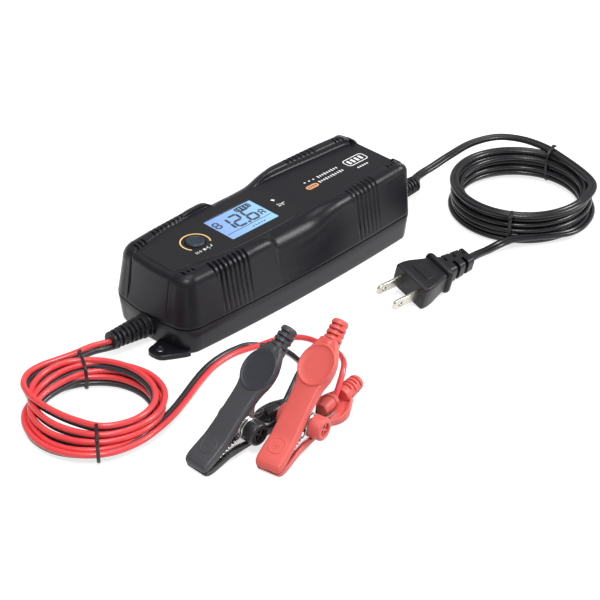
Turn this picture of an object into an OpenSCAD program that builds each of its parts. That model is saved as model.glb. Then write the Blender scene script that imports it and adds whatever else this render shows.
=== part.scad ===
// Car battery charger: a charging case with a mains lead and plug at the rear
// and a twin lead with two sprung battery clips at the front.
// Millimetres. The origin is the middle of the case's base, +Y the mains end.

/* [Case] */
// Length of the case at its seam
case_l = 168; // [150:0.5:190]
// Width of the case at its four corners
case_w = 58.8; // [52:0.2:68]
// How far each long side bows out at mid length
side_bow = 2.3; // [0.5:0.1:4]
// How far the front edge bows out
front_bow = 1.6; // [0.4:0.1:3]
// Plan radius of the two front corners
front_corner = 11.6; // [9:0.1:14]
// Plan radius of the two rear corners
rear_corner = 9; // [8.5:0.1:12]
// Height of the seam between the two halves
seam_z = 15.4; // [12:0.1:18]
// Thickness of the seal in the seam
seal_t = 0.6; // [0.4:0.1:1]
// Wall thickness of both halves
wall = 2.2; // [1.6:0.1:3]
// Thickness of the floor
floor_t = 2.4; // [1.8:0.1:3.2]
// Height of the flat top
top_z = 41.5; // [38:0.1:45]
// Thickness of the top under the flat
roof_t = 2.8; // [2:0.1:3.4]
// How far the side walls lean in up to the rim
side_draft = 3.2; // [1.5:0.1:4]
// How far the front wall leans in up to the rim
front_draft = 3.4; // [1.5:0.1:4]
// How far the floor's edge is drawn in
foot_inset = 1.7; // [1:0.1:2.4]
// Depth of the band down the front
band_depth = 0.7; // [0.3:0.1:1]
// Half the width of the band down the front
band_half = 14.5; // [12:0.1:16]

/* [Grips] */
// Grooves in each of the two front grips
front_grooves = 8; // [4:1:9]
// Grooves in each of the two rear grips
rear_grooves = 7; // [4:1:8]
// Distance from groove to groove
grip_pitch = 3; // [2.6:0.05:3.4]
// Depth of a groove
grip_depth = 0.8; // [0.3:0.1:1]
// Middle of the two front grips
front_grip_y = -50; // [-54:0.5:-48]
// Middle of the two rear grips
rear_grip_y = 45.5; // [44:0.5:54]

/* [Mounting ears] */
// How far the hole in each ear lies from the case's end
ear_reach = 4.5; // [4:0.1:6]
// How far each ear lies from the middle line
ear_x = 15; // [12:0.5:17]
// Thickness of an ear
ear_t = 3; // [2:0.1:4]
// Radius of the hole in an ear
ear_hole_r = 2.2; // [1.8:0.1:2.6]

/* [Display and button] */
// Width of the display opening
window_w = 23; // [20:0.5:25]
// Length of the display opening
window_l = 33; // [28:0.5:34]
// Middle of the display opening
window_y = -18.1; // [-20:0.1:-16]
// Gap around a piece that sits in an opening
seat_gap = 0.1; // [0.05:0.01:0.2]
// Thickness of the label on the top
label_t = 0.4; // [0.3:0.1:0.6]
// Middle of the mode button
button_y = -50; // [-53:0.5:-48]
// Radius of the mode button
button_r = 5.1; // [4:0.1:5.6]
// Gap around the mode button
button_gap = 0.35; // [0.3:0.05:0.5]
// Travel of the mode button
button_travel = 1; // [0.5:0.1:1.2]
// Middle radius of the ring mark around the button
ring_r = 7.7; // [7:0.1:8.2]
// Width of the ring mark
ring_w = 0.8; // [0.5:0.1:1.2]
// Arc that the ring mark covers
ring_arc = 250; // [180:5:300]

/* [Circuit] */
// Height of the main board over the base
board_z = 6; // [5:0.1:8]
// Thickness of both boards
board_t = 1.6; // [1.2:0.1:2]
// Width of the main board
board_w = 46; // [40:0.5:48]
// Length of the main board
board_l = 138; // [120:1:142]
// Underside of the display board
panel_z = 33; // [32.6:0.1:33.5]
// Width of the transformer's winding
transformer_w = 22; // [18:1:26]
// Height of the transformer
transformer_h = 20.9; // [16:0.1:23]
// Radius of a filter capacitor
capacitor_r = 7.5; // [5:0.5:8]
// Height of a filter capacitor
capacitor_h = 22; // [16:0.5:24]
// Length of the heat sink
sink_l = 26; // [20:1:30]
// Height of the heat sink
sink_h = 24; // [16:0.5:24.5]
// Radius of the filter choke
choke_r = 11.5; // [8:0.5:12]

/* [Screws] */
// How far the case screws lie from the middle line
screw_x = 20.5; // [19:0.1:21]
// How far the case screws lie from the middle across
screw_y = 72.5; // [72:0.1:73]
// Radius of a case screw's shank
screw_r = 1.5; // [1.2:0.1:1.7]
// Radius of a case screw's head
screw_head_r = 2.8; // [2.4:0.1:3]

/* [Strain reliefs] */
// Height of the mains lead's way out
ac_gland_z = 7; // [6.9:0.1:8]
// Height of the charging lead's way out
dc_gland_z = 8.6; // [7:0.1:8.6]
// Radius of the wall hole
gland_hole_r = 4; // [3.6:0.1:4.3]
// Radius of a strain relief at the case
gland_root_r = 6.4; // [6:0.1:6.6]
// Radius of a strain relief at its tip
gland_tip_r = 4.5; // [4.2:0.1:5]
// Length of the charging lead's strain relief outside the case
dc_gland_l = 22; // [18:0.5:26]
// Length of the mains lead's strain relief outside the case
ac_gland_l = 32; // [28:0.5:36]
// Distance from rib to rib on a strain relief
gland_pitch = 2.4; // [2:0.1:3]

/* [Mains lead and plug] */
// Width of the flat mains cord
mains_w = 5; // [4.6:0.1:6]
// Thickness of the flat mains cord
mains_t = 2.5; // [2.2:0.1:3]
// Outer radius of the mains coil
mains_coil_ro = 39.5; // [38:0.5:42]
// Inner radius of the mains coil
mains_coil_ri = 33; // [31:0.5:34]
// Height of the mains coil
mains_coil_h = 17; // [14:0.5:18]
// Length of a blade outside the plug
blade_l = 17.5; // [16:0.1:18.5]
// Width of a blade
blade_w = 6.3; // [6:0.1:6.6]
// Thickness of a blade
blade_t = 1.5; // [1.4:0.1:1.6]
// Distance from blade to blade
blade_pitch = 12.7; // [12.5:0.1:12.9]

/* [Charging lead] */
// Diameter of one charging wire
wire_d = 3; // [2.6:0.1:3.4]
// Outer radius of the charging coil
dc_coil_ro = 35.2; // [33:0.1:37]
// Inner radius of the charging coil
dc_coil_ri = 22; // [21:0.5:25]
// Height of the charging coil
dc_coil_h = 14; // [11:0.5:15]

/* [Battery clips] */
// Length of a clip handle from its bend to its end
handle_l = 60; // [56:0.5:64]
// Half the angle between the two handles
handle_angle = 20.5; // [18:0.1:23]
// Half the width of a clip arm at its jaw
arm_half_w = 6.9; // [6.5:0.1:7.3]
// Half the width of the finger pad
pad_half_w = 9.3; // [8.5:0.1:10]
// Thickness of the plastic over the metal
cover_t = 2; // [1.6:0.1:2.2]
// Half the outer width of the lower jaw
jaw_half_w = 5.2; // [4.9:0.1:5.4]
// Thickness of the jaw sheet
jaw_t = 0.8; // [0.6:0.1:0.9]
// Side gap between the upper and the lower jaw
jaw_gap = 0.35; // [0.3:0.01:0.45]
// Radius of the pivot pin
pin_r = 2; // [1.6:0.1:2.2]
// Running clearance of the pin in the jaws
pin_gap = 0.05; // [0.03:0.01:0.09]
// Radius of the round caps on the pivot
cap_r = 5.7; // [5:0.1:6]
// How far the caps reach from the middle
cap_end = 12; // [11:0.1:13]
// Radius of the hollow in a cap
cap_hollow_r = 3.2; // [2:0.1:4]
// Radius of the ears around the pin
jaw_ear_r = 5.5; // [5:0.1:5.8]
// Radius of the wire boot on the lower arm
boot_r = 3.4; // [3:0.1:3.5]
// Outer radius of a spring coil
spring_r = 3.5; // [3.3:0.1:4]
// Thickness of the spring wire
spring_d = 1; // [0.8:0.1:1.2]

/* [Hidden] */
$fn = 48;

charcoal = [0.16, 0.16, 0.18];
dark = [0.07, 0.07, 0.08];
black_plastic = [0.2, 0.2, 0.22];
red_plastic = [0.93, 0.33, 0.28];
red_cable = [0.9, 0.2, 0.2];
steel = [0.75, 0.75, 0.76];
gold = [0.78, 0.68, 0.45];
green = [0.1, 0.35, 0.2];

half_l = case_l / 2;
half_w = case_w / 2;
cover_z = seam_z + seal_t / 2;
case_top_z = seam_z - seal_t / 2;
ceiling_z = top_z - roof_t;
corner_yf = half_l - front_corner;
corner_yr = half_l - rear_corner;
edge_xf = half_w - front_corner;
edge_xr = half_w - rear_corner;

// Crest height of the rails over the length of the case
rail_z = [
    [-84, 42.4], [-76, 42.6], [-37, 43], [-34, 43.7], [-27, 43.7], [-22, 42.3],
    [-18, top_z], [7, top_z], [12, 42.3], [18, 43.9], [25, 44.8], [64, 45], [72, 45.1],
    [77, 45], [80, 44.6], [82, 44.1], [84, 43.2]
];
// Half width of the flat between the rails
flat_x = [
    [-84, 14.4], [-74, 14.6], [-65, 16.3], [-55, 18.6], [-44, 19.9], [-36, 21.6],
    [-26, 21.8], [12, 21.2], [17, 20], [25, 19.3], [38, 18.7], [57, 17.4],
    [74, 16.7], [77, 16.3], [81, 14.9], [84, 13.8]
];

function unit(v) = v / norm(v);
function side_x(y) = half_w + side_bow * (1 - pow(y / (y < 0 ? corner_yf : corner_yr), 2));
function front_y(x) = -half_l - front_bow * (1 - pow(x / edge_xf, 2));

// One station of the plan: [x, y, nx, ny, edge, groove]; the edge is 0 front,
// 1 front corner, 2 side, 3 rear corner, 4 rear, and the groove runs 0 to 1
grip_profile = [[-0.95, 0], [-0.35, 1], [0.35, 1], [0.95, 0]];
function grip(mid, count) = [
    for (i = [0 : count - 1]) for (g = grip_profile)
        [mid + (i - (count - 1) / 2) * grip_pitch + g[0], g[1]]
];
plain_side = [for (y = [-66, -36, -31, -26, -22, -18, -8, 2, 12, 14.5, 17, 24, 30, 66, 70]) [y, 0]];
front_side = [[-66, 0]];
waist_side = [for (y = [-34.5, -30, -26, -22, -18, -8, 2, 12, 14.5, 17, 25, 31]) [y, 0]];
rear_side = [for (y = [65, 69]) [y, 0]];
grip_side = concat(
    front_side, grip(front_grip_y, front_grooves), waist_side, grip(rear_grip_y, rear_grooves), rear_side
);

function half_plan(side) = concat(
    [for (x = [0, 5, 10, 13, band_half]) [x, front_y(x), 0, -1, 0, 0]],
    [[band_half + 1, front_y(band_half + 1), 0, -1, 1, 0]],
    [for (i = [0 : 6]) let (a = -90 + i * 15)
        [edge_xf + front_corner * cos(a), -corner_yf + front_corner * sin(a), cos(a), sin(a), 1, 0]],
    [for (s = side) [side_x(s[0]), s[0], 1, 0, 2, s[1]]],
    [for (i = [0 : 6]) let (a = i * 15)
        [edge_xr + rear_corner * cos(a), corner_yr + rear_corner * sin(a), cos(a), sin(a), 3, 0]],
    [for (x = [17, 13, 6, 0]) [x, half_l, 0, 1, 4, 0]]
);
function mirror_plan(p) = concat(
    p, [for (i = [len(p) - 2 : -1 : 1]) [-p[i][0], p[i][1], -p[i][2], p[i][3], p[i][4], p[i][5]]]
);
cover_plan = mirror_plan(half_plan(grip_side));
case_plan = mirror_plan(half_plan(plain_side));

// A point of the plan drawn in by d, at height z
function inset(s, d, z) = [s[0] - s[2] * d, s[1] - s[3] * d, z];
function flat_outline(plan, d) = [for (s = plan) [s[0] - s[2] * d, s[1] - s[3] * d]];
function draft(s) = s[4] == 2 ? side_draft : s[4] < 2 ? front_draft : side_draft - 2.2;
function band(s) = s[4] == 0 ? band_depth : 0;
function crest(s) = s[4] == 0 || s[4] == 4 ? top_z : lookup(s[1], rail_z);

// The inner edge of the rail beside a station, on the flat
function flat_edge(s) = let (
    ends = s[4] == 0 ? -half_l + 6.5 : s[4] == 4 ? half_l - 3.8 : s[1],
    y = s[4] == 1 ? -half_l + 6.5 + (s[1] + half_l + front_bow) * 0.5
      : s[4] == 3 ? half_l - 4.4 - (half_l - s[1]) * 0.5 : ends,
    x = s[4] == 0 ? abs(s[0]) : s[4] == 4 ? abs(s[0]) * 0.8 : lookup(y, flat_x)
) [sign(s[0]) * min(x, lookup(y, flat_x)), y, top_z];

// Rings of the upper cover, from the ceiling down the inside, out under the
// rim, up the outside and in over the rail to the flat
function mix(a, b, t) = a * (1 - t) + b * t;
function cover_ring(s, k) = let (
    g = s[5] * grip_depth, c = crest(s), d = draft(s), b = band(s),
    rim = inset(s, d + 2 + b, c - 0.5), f = flat_edge(s)
) k == 0 ? inset(s, 7.6, ceiling_z)
    : k == 1 ? inset(s, wall + side_draft - 0.4, ceiling_z - 5)
    : k == 2 ? inset(s, wall, cover_z)
    : k == 3 ? inset(s, 0, cover_z)
    : k == 4 ? inset(s, d * 0.4 + b * 0.6 + g * 0.8, cover_z + 9)
    : k == 5 ? inset(s, d + b + g, c - 4.6)
    : k == 6 ? inset(s, d + 0.6 + b + g, c - 1.9)
    : k == 7 ? rim - [0, 0, g]
    : k == 8 ? mix([rim[0], rim[1], c], [f[0], f[1], c], 0.45) - [0, 0, g]
    : k == 9 ? mix([rim[0], rim[1], c - 0.15], [f[0], f[1], c - 0.15], 0.86) - [0, 0, g * 0.8]
    : f;

function loft_faces(n, rings) = [
    for (k = [0 : rings - 2]) for (i = [0 : n - 1]) let (j = (i + 1) % n)
        each [[k * n + i, (k + 1) * n + i, (k + 1) * n + j], [k * n + i, (k + 1) * n + j, k * n + j]]
];

// Strips from side to side over the flat, fanned at both ends
function flat_faces(plan, base) = let (
    n = len(plan), m = n / 2,
    a = len([for (s = plan) if (s[4] == 0) s]) / 2 + 0.5,
    b = m - (len([for (s = plan) if (s[4] == 4) s]) - 1) / 2
) concat(
    [for (i = [1 - a : a - 2]) [base + (n - a) % n, base + (i + n) % n, base + (i + 1 + n) % n]],
    [[base + n - a, base + a - 1, base + a]],
    [for (i = [a : b - 2]) each [
        [base + n - i, base + n - i - 1, base + i + 1], [base + n - i, base + i + 1, base + i]]],
    [for (i = [b - 1 : n - b]) [base + n - b + 1, base + i + 1, base + i]]
);

module upper_cover_shell() {
    n = len(cover_plan);
    rings = 11;
    pts = [for (k = [0 : rings - 1]) for (s = cover_plan) cover_ring(s, k)];
    faces = concat(
        [[for (i = [0 : n - 1]) i]],
        loft_faces(n, rings),
        [for (f = flat_faces(cover_plan, (rings - 1) * n)) [f[0], f[1], f[2]]]
    );
    polyhedron(points = pts, faces = faces, convexity = 6);
}

module lower_case_shell() {
    n = len(case_plan);
    pts = [
        for (s = case_plan) inset(s, foot_inset + 1.1, 0),
        for (s = case_plan) inset(s, foot_inset, 0.9),
        for (s = case_plan) inset(s, 0, case_top_z),
        for (s = case_plan) inset(s, wall, case_top_z),
        for (s = case_plan) inset(s, wall + foot_inset, floor_t)
    ];
    faces = concat(
        [[for (i = [0 : n - 1]) i]],
        loft_faces(n, 5),
        [[for (i = [n - 1 : -1 : 0]) 4 * n + i]]
    );
    polyhedron(points = pts, faces = faces, convexity = 6);
}

module at_screws() {
    for (x = [-screw_x, screw_x]) for (y = [-screw_y, screw_y]) translate([x, y, 0]) children();
}

module upper_cover() color(charcoal) {
    boss_r = 3.4;
    difference() {
        union() {
            upper_cover_shell();
            at_screws() translate([0, 0, seam_z]) cylinder(r = boss_r, h = ceiling_z + 1 - seam_z);
            for (x = [-15.6, 15.6]) for (y = [-58, 2.4])
                translate([x, y, panel_z + board_t]) cylinder(r = 2.2, h = ceiling_z + 1 - panel_z - board_t);
        }
        translate([-window_w / 2, window_y - window_l / 2, ceiling_z - 1])
            cube([window_w, window_l, 8]);
        translate([0, button_y, ceiling_z - 1]) cylinder(r = button_r + button_gap, h = 8);
        at_screws() translate([0, 0, seam_z - 1]) cylinder(r = screw_r, h = 14);
    }
}

// Front-right or rear-left ear, as drawn at the front
ear_outline = [
    [-9, 4.5], [-8.4, -1.5], [-6, -6.6], [-3.5, -8.6], [-1, -9.2], [3, -9], [5.6, -8],
    [7.6, -5.6], [8.6, -1.5], [9.2, 4.5]
];
module ear() {
    linear_extrude(ear_t) polygon(ear_outline);
}

module lower_case() color(charcoal) {
    boss_r = 3.4;
    difference() {
        union() {
            lower_case_shell();
            translate([ear_x, -half_l, 0]) ear();
            translate([-ear_x, half_l, 0]) rotate(180) ear();
            at_screws() translate([0, 0, 1]) cylinder(r = boss_r, h = seam_z - 1);
            for (x = [-18, 18]) for (y = [-58, 58])
                translate([x, y, 1]) cylinder(r = 2.6, h = board_z - 1);
            translate([0, -half_l + 1.4, dc_gland_z]) rotate([90, 0, 0])
                cylinder(r = gland_root_r, h = gland_face_f - half_l + 1.4);
            translate([0, gland_face_r, ac_gland_z]) rotate([90, 0, 0])
                cylinder(r = gland_root_r, h = gland_face_r - half_l + 2.6);
        }
        translate([ear_x, -half_l - ear_reach, -1]) cylinder(r = ear_hole_r, h = ear_t + 2);
        translate([-ear_x, half_l + ear_reach, -1]) cylinder(r = ear_hole_r, h = ear_t + 2);
        translate([0, -half_l + 6, dc_gland_z]) rotate([90, 0, 0]) cylinder(r = gland_hole_r, h = 12);
        translate([0, half_l + 6, ac_gland_z]) rotate([90, 0, 0]) cylinder(r = gland_hole_r, h = 12);
        at_screws() {
            translate([0, 0, -1]) cylinder(r = screw_head_r + seat_gap, h = 3);
            translate([0, 0, 1]) cylinder(r = screw_r + 0.2, h = seam_z);
        }
    }
}
gland_face_f = half_l + 2.2;
gland_face_r = half_l + 0.8;

module case_seal() color(dark)
    translate([0, 0, case_top_z]) linear_extrude(seal_t) difference() {
        polygon(flat_outline(case_plan, 0.45));
        polygon(flat_outline(case_plan, wall - 0.2));
    }

module case_screws() color(steel) at_screws() {
    cylinder(r = screw_head_r, h = 2);
    cylinder(r = screw_r - 0.05, h = seam_z + 9);
}

panel_right = [
    [0, 10.5], [8, 9.9], [14, 8.5], [17.2, 4], [18, -2], [18.2, -34], [17.4, -46],
    [16, -55], [13.6, -66], [12.8, -73], [11.4, -75.6], [0, -76]
];
module control_panel() color(dark)
    translate([0, 0, top_z]) linear_extrude(label_t) difference() {
        polygon(concat(panel_right, [for (i = [len(panel_right) - 2 : -1 : 1]) [-panel_right[i][0], panel_right[i][1]]]));
        translate([-window_w / 2, window_y - window_l / 2]) square([window_w, window_l]);
        translate([0, button_y]) circle(r = button_r + button_gap);
    }

glass_z = ceiling_z + 1.6;
module display_window() color([0.6, 0.8, 0.95, 0.5])
    translate([-window_w / 2 + seat_gap, window_y - window_l / 2 + seat_gap, glass_z])
        cube([window_w - 2 * seat_gap, window_l - 2 * seat_gap, top_z + label_t - glass_z]);

module lcd_module() color([0.55, 0.78, 0.9]) union() {
    body_z = panel_z + board_t;
    translate([-window_w / 2 - 2, window_y - window_l / 2 - 2, body_z])
        cube([window_w + 4, window_l + 4, ceiling_z - 0.1 - body_z]);
    translate([-window_w / 2 + 0.3, window_y - window_l / 2 + 0.3, body_z + 1])
        cube([window_w - 0.6, window_l - 0.6, glass_z - body_z - 1]);
}

display_w = window_w * 1.65;
display_y0 = button_y - window_w * 0.52;
display_y1 = window_y + window_l * 0.67;
module display_board() color(green)
    translate([-display_w / 2, display_y0, panel_z]) cube([display_w, display_y1 - display_y0, board_t]);

switch_z = panel_z + board_t;
module tact_switch() color(dark) {
    translate([-3, button_y - 3, switch_z]) cube([6, 6, 1]);
    translate([0, button_y, switch_z + 0.9]) cylinder(r = 1.7, h = 0.5);
}

module button_cap() color([0.2, 0.22, 0.28]) {
    flange_z = ceiling_z - 0.4;
    translate([0, button_y, 0]) rotate_extrude() polygon([
        [0, flange_z - 0.9], [button_r + 1.2, flange_z - 0.9], [button_r + 1.2, flange_z],
        [button_r, flange_z], [button_r, top_z + 0.9], [button_r - 0.7, top_z + 1.5],
        [button_r - 1.4, top_z + 1.7], [button_r - 1.9, top_z + 1.35], [0, top_z + 1.55]
    ]);
}

module button_ring() color(gold)
    translate([0, button_y, top_z + label_t]) rotate([0, 0, (360 - ring_arc) / 2])
        rotate_extrude(angle = ring_arc) translate([ring_r - ring_w / 2, 0]) square([ring_w, 0.25]);

module main_board() color(green)
    translate([-board_w / 2, -board_l / 2, board_z]) cube([board_w, board_l, board_t]);

board_top = board_z + board_t;
module transformer() color([0.85, 0.75, 0.3]) translate([0, board_l * 0.13, board_top]) {
    core_h = transformer_h - 2.9;
    translate([-transformer_w / 2 - 4, -12, 0]) cube([transformer_w + 8, 24, 3]);
    translate([-transformer_w / 2 - 6, -8, 2.9]) cube([transformer_w + 12, 16, core_h]);
    translate([-transformer_w / 2, -13, 5]) cube([transformer_w, 26, core_h - 4]);
}

module filter_capacitors() color(dark)
    for (p = [[-0.26, -0.245], [0.26, -0.245], [-0.28, -0.39]])
        translate([p[0] * board_w, p[1] * board_l, board_top]) cylinder(r = capacitor_r, h = capacitor_h);

module heat_sink() color(steel) translate([board_w * 0.305, board_l * 0.32, board_top]) union() {
    translate([-1.5, -sink_l / 2 + 3, 0]) cube([3, sink_l, sink_h]);
    for (i = [0 : 4]) translate([-7, -sink_l / 2 + 3 + i * (sink_l - 2) / 4, 0]) cube([14, 2, sink_h]);
}

module filter_choke() color([0.75, 0.42, 0.2])
    translate([-board_w * 0.24, board_l * 0.35, board_top]) rotate_extrude() translate([choke_r - 4, 4]) circle(r = 4, $fn = 24);

// Strain relief along +Y from the case's face: collar inside, neck, root and ribs
module strain_relief(neck, length) {
    ribs = floor((length - 3) / gland_pitch);
    pitch = (length - 3) / ribs;
    rib_r = function (i) mix(gland_root_r - 0.3, gland_tip_r, i / (ribs - 1));
    rotate([-90, 0, 0]) rotate_extrude() polygon(concat(
        [[0, -neck - 1.8], [gland_hole_r + 0.5, -neck - 1.8], [gland_hole_r + 0.5, -neck],
         [gland_hole_r - seat_gap, -neck], [gland_hole_r - seat_gap, 0], [gland_root_r, 0],
         [gland_root_r, 2.2], [gland_root_r - 0.6, 3]],
        [for (i = [0 : ribs - 1]) each let (r = rib_r(i), y = 3 + i * pitch) [
            [r - 1.5, y + 0.05], [r - 1.5, y + pitch * 0.42], [r, y + pitch * 0.5], [r, y + pitch]]],
        [[0, length]]
    ));
}

module dc_strain_relief() color(dark)
    translate([0, -gland_face_f, dc_gland_z]) rotate(180) strain_relief(4.6, dc_gland_l);

module ac_strain_relief() color(dark)
    translate([0, gland_face_r, ac_gland_z]) strain_relief(4.8, ac_gland_l);

// Smooth way through hand-set points, n steps from point to point
function bend_point(a, b, c, d, t) = 0.5 * (
    2 * b + (c - a) * t + (2 * a - 5 * b + 4 * c - d) * t * t + (3 * b - a - 3 * c + d) * t * t * t
);
function smooth_way(p, n) = concat(
    [for (i = [0 : len(p) - 2]) for (j = [0 : n - 1])
        bend_point(p[max(i - 1, 0)], p[i], p[i + 1], p[min(i + 2, len(p) - 1)], j / n)],
    [p[len(p) - 1]]
);

// Tube along a way, with an oval section rx across and rz up
module tube_along(way, rx, rz, sides = 8) {
    n = len(way);
    dirs = [for (i = [0 : n - 1]) unit(way[min(i + 1, n - 1)] - way[max(i - 1, 0)])];
    pts = [
        for (i = [0 : n - 1])
            let (s = unit(cross(dirs[i], [0, 0, 1])), u = cross(s, dirs[i]))
                for (k = [0 : sides - 1])
                    way[i] + s * rx * cos(360 * k / sides) + u * rz * sin(360 * k / sides)
    ];
    faces = concat(
        [[for (k = [sides - 1 : -1 : 0]) k]],
        [for (i = [0 : n - 2]) for (k = [0 : sides - 1]) let (m = (k + 1) % sides) each [
            [i * sides + k, i * sides + m, (i + 1) * sides + m],
            [i * sides + k, (i + 1) * sides + m, (i + 1) * sides + k]]],
        [[for (k = [0 : sides - 1]) (n - 1) * sides + k]]
    );
    polyhedron(points = pts, faces = faces, convexity = 6);
}

// Coil of cord lying flat, drawn as one ring with a wavy outside
module coil(ri, ro, h, turns) {
    lobe = h / turns;
    rotate_extrude($fn = 72) polygon(concat(
        [[ri + 1, 0], [ro - 2, 0]],
        [for (i = [0 : turns - 1]) each [
            [ro - 1.2 + 1.2 * sin(180 * (i + 0.5) / turns), lobe * (i + 0.3)],
            [ro - 1.2 + 1.2 * sin(180 * (i + 0.5) / turns), lobe * (i + 0.7)],
            [ro - 2.2, lobe * (i + 1)]]],
        [[ri + 1, h], [ri, h - 2], [ri, 2]]
    ));
}

// Tie around a coil's section, at angle a
module coil_tie(ri, ro, h, a) {
    rotate(a) translate([(ri + ro) / 2, 0, h / 2]) rotate([90, 0, 0]) difference() {
        linear_extrude(2.4, center = true) square([ro - ri + 2.2, h + 2.2], center = true);
        linear_extrude(3, center = true) square([ro - ri, h], center = true);
    }
}

ac_coil_at = [52.3, 146.8, 0];
dc_coil_at = [33.8, -145.4, 0];
module ac_coil() color(dark) translate(ac_coil_at) translate([0, 0, 1.1])
    coil(mains_coil_ri, mains_coil_ro, mains_coil_h, 6);
module ac_coil_ties() color(dark) translate(ac_coil_at) translate([0, 0, 1.1]) {
    coil_tie(mains_coil_ri, mains_coil_ro, mains_coil_h, 102);
    coil_tie(mains_coil_ri, mains_coil_ro, mains_coil_h, 300);
}
module dc_coil() color(red_cable) translate(dc_coil_at) translate([0, 0, 1.1])
    coil(dc_coil_ri, dc_coil_ro, dc_coil_h, 4);
module dc_coil_ties() color(dark) translate(dc_coil_at) translate([0, 0, 1.1]) {
    coil_tie(dc_coil_ri, dc_coil_ro, dc_coil_h, 165);
    coil_tie(dc_coil_ri, dc_coil_ro, dc_coil_h, 330);
}

// Ways of the cords on the floor
ac_lead_way = [
    [0, 116.8, 7], [-3.5, 121.5, 7], [-5, 129, 7], [-5, 137, 7.5], [-4, 152, 10], [-1.5, 166.5, 13], [8, 179.2, 16],
    [20, 185.3, 17], [34, 187.3, 17], [47, 186.2, 16.5], [60, 182, 15], [68, 177.5, 14]
];
ac_tail_way = [[68, 114, 8], [75, 108, 6.5], [75.5, 97, 6], [75.3, 86, 8], [75.4, 77.3, 9.4]];
dc_lead_way = [
    [0, -108.2, dc_gland_z], [-3.8, -115, 7.8], [-5.5, -126, 7.4], [-6, -137, 8.4], [-5.5, -147.5, 9.8],
    [-2.8, -156.5, 11], [3.5, -164, 11.6], [9, -168, 11.6]
];
dc_tail_way = [
    [60, -134, 5], [62, -126, 3], [56, -110, 1.8], [48, -92, 1.8], [43, -78, 1.8], [42, -63, 1.8], [47, -49, 1.8]
];

module ac_cord_lead() color(dark) tube_along(smooth_way(ac_lead_way, 2), mains_w / 2, mains_t / 2);
module ac_cord_tail() color(dark) tube_along(smooth_way(ac_tail_way, 2), mains_w / 2, mains_t / 2);
module dc_lead() color(red_cable) tube_along(smooth_way(dc_lead_way, 2), wire_d, wire_d / 2);
module dc_tail() color(red_cable) tube_along(smooth_way(dc_tail_way, 2), wire_d, wire_d / 2);

// Plug: blades point along -Y of its own frame
plug_at = [71.7, 33.5, 9.6];
plug_yaw = -5;
plug_roll = 14;
module in_plug() translate(plug_at) rotate([0, plug_roll, plug_yaw]) children();

// Rounded slab: a section across Y from y to y + l
module slab(w, h, r, y, l) {
    translate([0, y, 0]) rotate([-90, 0, 0]) linear_extrude(l) polygon([
        for (c = [[1, 1, 0], [-1, 1, 90], [-1, -1, 180], [1, -1, 270]]) for (i = [0 : 3])
            [c[0] * (w / 2 - r) + r * cos(c[2] + i * 30), c[1] * (h / 2 - r) + r * sin(c[2] + i * 30)]
    ]);
}
// Loft of rounded slabs along Y: rows of [y, half width, half height, radius]
module slab_loft(rows) {
    n = 16;
    pts = [for (q = rows) for (c = [[1, 1, 0], [-1, 1, 90], [-1, -1, 180], [1, -1, 270]]) for (i = [0 : 3])
        [c[0] * (q[1] - q[3]) + q[3] * cos(c[2] + i * 30), q[0], c[1] * (q[2] - q[3]) + q[3] * sin(c[2] + i * 30)]];
    m = len(rows);
    faces = concat(
        [[for (k = [n - 1 : -1 : 0]) k]],
        [for (i = [0 : m - 2]) for (k = [0 : n - 1]) let (j = (k + 1) % n) each [
            [i * n + k, i * n + j, (i + 1) * n + j], [i * n + k, (i + 1) * n + j, (i + 1) * n + k]]],
        [[for (k = [0 : n - 1]) (m - 1) * n + k]]
    );
    polyhedron(points = pts, faces = faces, convexity = 4);
}
module plug_body() color(dark) in_plug() difference() {
    union() {
        slab_loft([[0, 11.4, 6.6, 2.4], [1.2, 12, 7.2, 2.6], [8, 11.6, 7.2, 2.8], [16, 9.4, 6.4, 2.8], [21, 8.6, 6, 2.8]]);
        slab_loft([[19.4, 9.6, 7.2, 3.2], [20.4, 10.9, 8.3, 3.6], [22.2, 10.9, 8.3, 3.6], [23.4, 9.4, 7, 3]]);
        slab_loft([[22, 6.6, 5.6, 2.6], [43, 5.4, 4.4, 2]]);
    }
    for (i = [0 : 3]) for (side = [-1, 1]) {
        translate([side * 6.4 - 3, 26 + i * 4.4 + (side > 0 ? 1.1 : 0), -8]) cube([6, 1.7, 16]);
    }
}
module plug_blades() color(steel) in_plug() for (side = [-1, 1]) {
    translate([side * blade_pitch / 2 - blade_t / 2, -blade_l, -blade_w / 2]) cube([blade_t, blade_l, blade_w]);
}

// Battery clips: own frame midway between the arms, X along the pin, Y towards
// the handles, Z away from the lower arm; the pin sits pin_drop below it
clip_pitch = 19;
tip_s = -27.4;
tip_t = 4.2;
bend_s = -15.9;
bend_t = 5.9;
pin_drop = 2;
clip_z = -tip_s * sin(clip_pitch) + tip_t * cos(clip_pitch);
black_at = [95.7, -109.5, clip_z];
black_yaw = 0.9;
red_at = [114.2, -87.9, clip_z];
red_yaw = 11.8;
handle_slope = tan(handle_angle);
handle_out = -bend_s * sin(handle_angle) + bend_t * cos(handle_angle);
function outer_t(s) = bend_t + (s - bend_s) * handle_slope;
function handle_point(l, d) = [
    bend_s + l * cos(handle_angle) + d * sin(handle_angle),
    bend_t + l * sin(handle_angle) - d * cos(handle_angle)
];
function in_clip(at, yaw, p) = let (
    v = p[1] * cos(clip_pitch) - p[2] * sin(clip_pitch),
    z = p[1] * sin(clip_pitch) + p[2] * cos(clip_pitch)
) at + [p[0] * cos(yaw) - v * sin(yaw), p[0] * sin(yaw) + v * cos(yaw), z];

module in_black() translate(black_at) rotate(black_yaw) rotate([clip_pitch, 0, 0]) children();
module in_red() translate(red_at) rotate(red_yaw) rotate([clip_pitch, 0, 0]) children();
module lower() mirror([0, 0, 1]) children();

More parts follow.
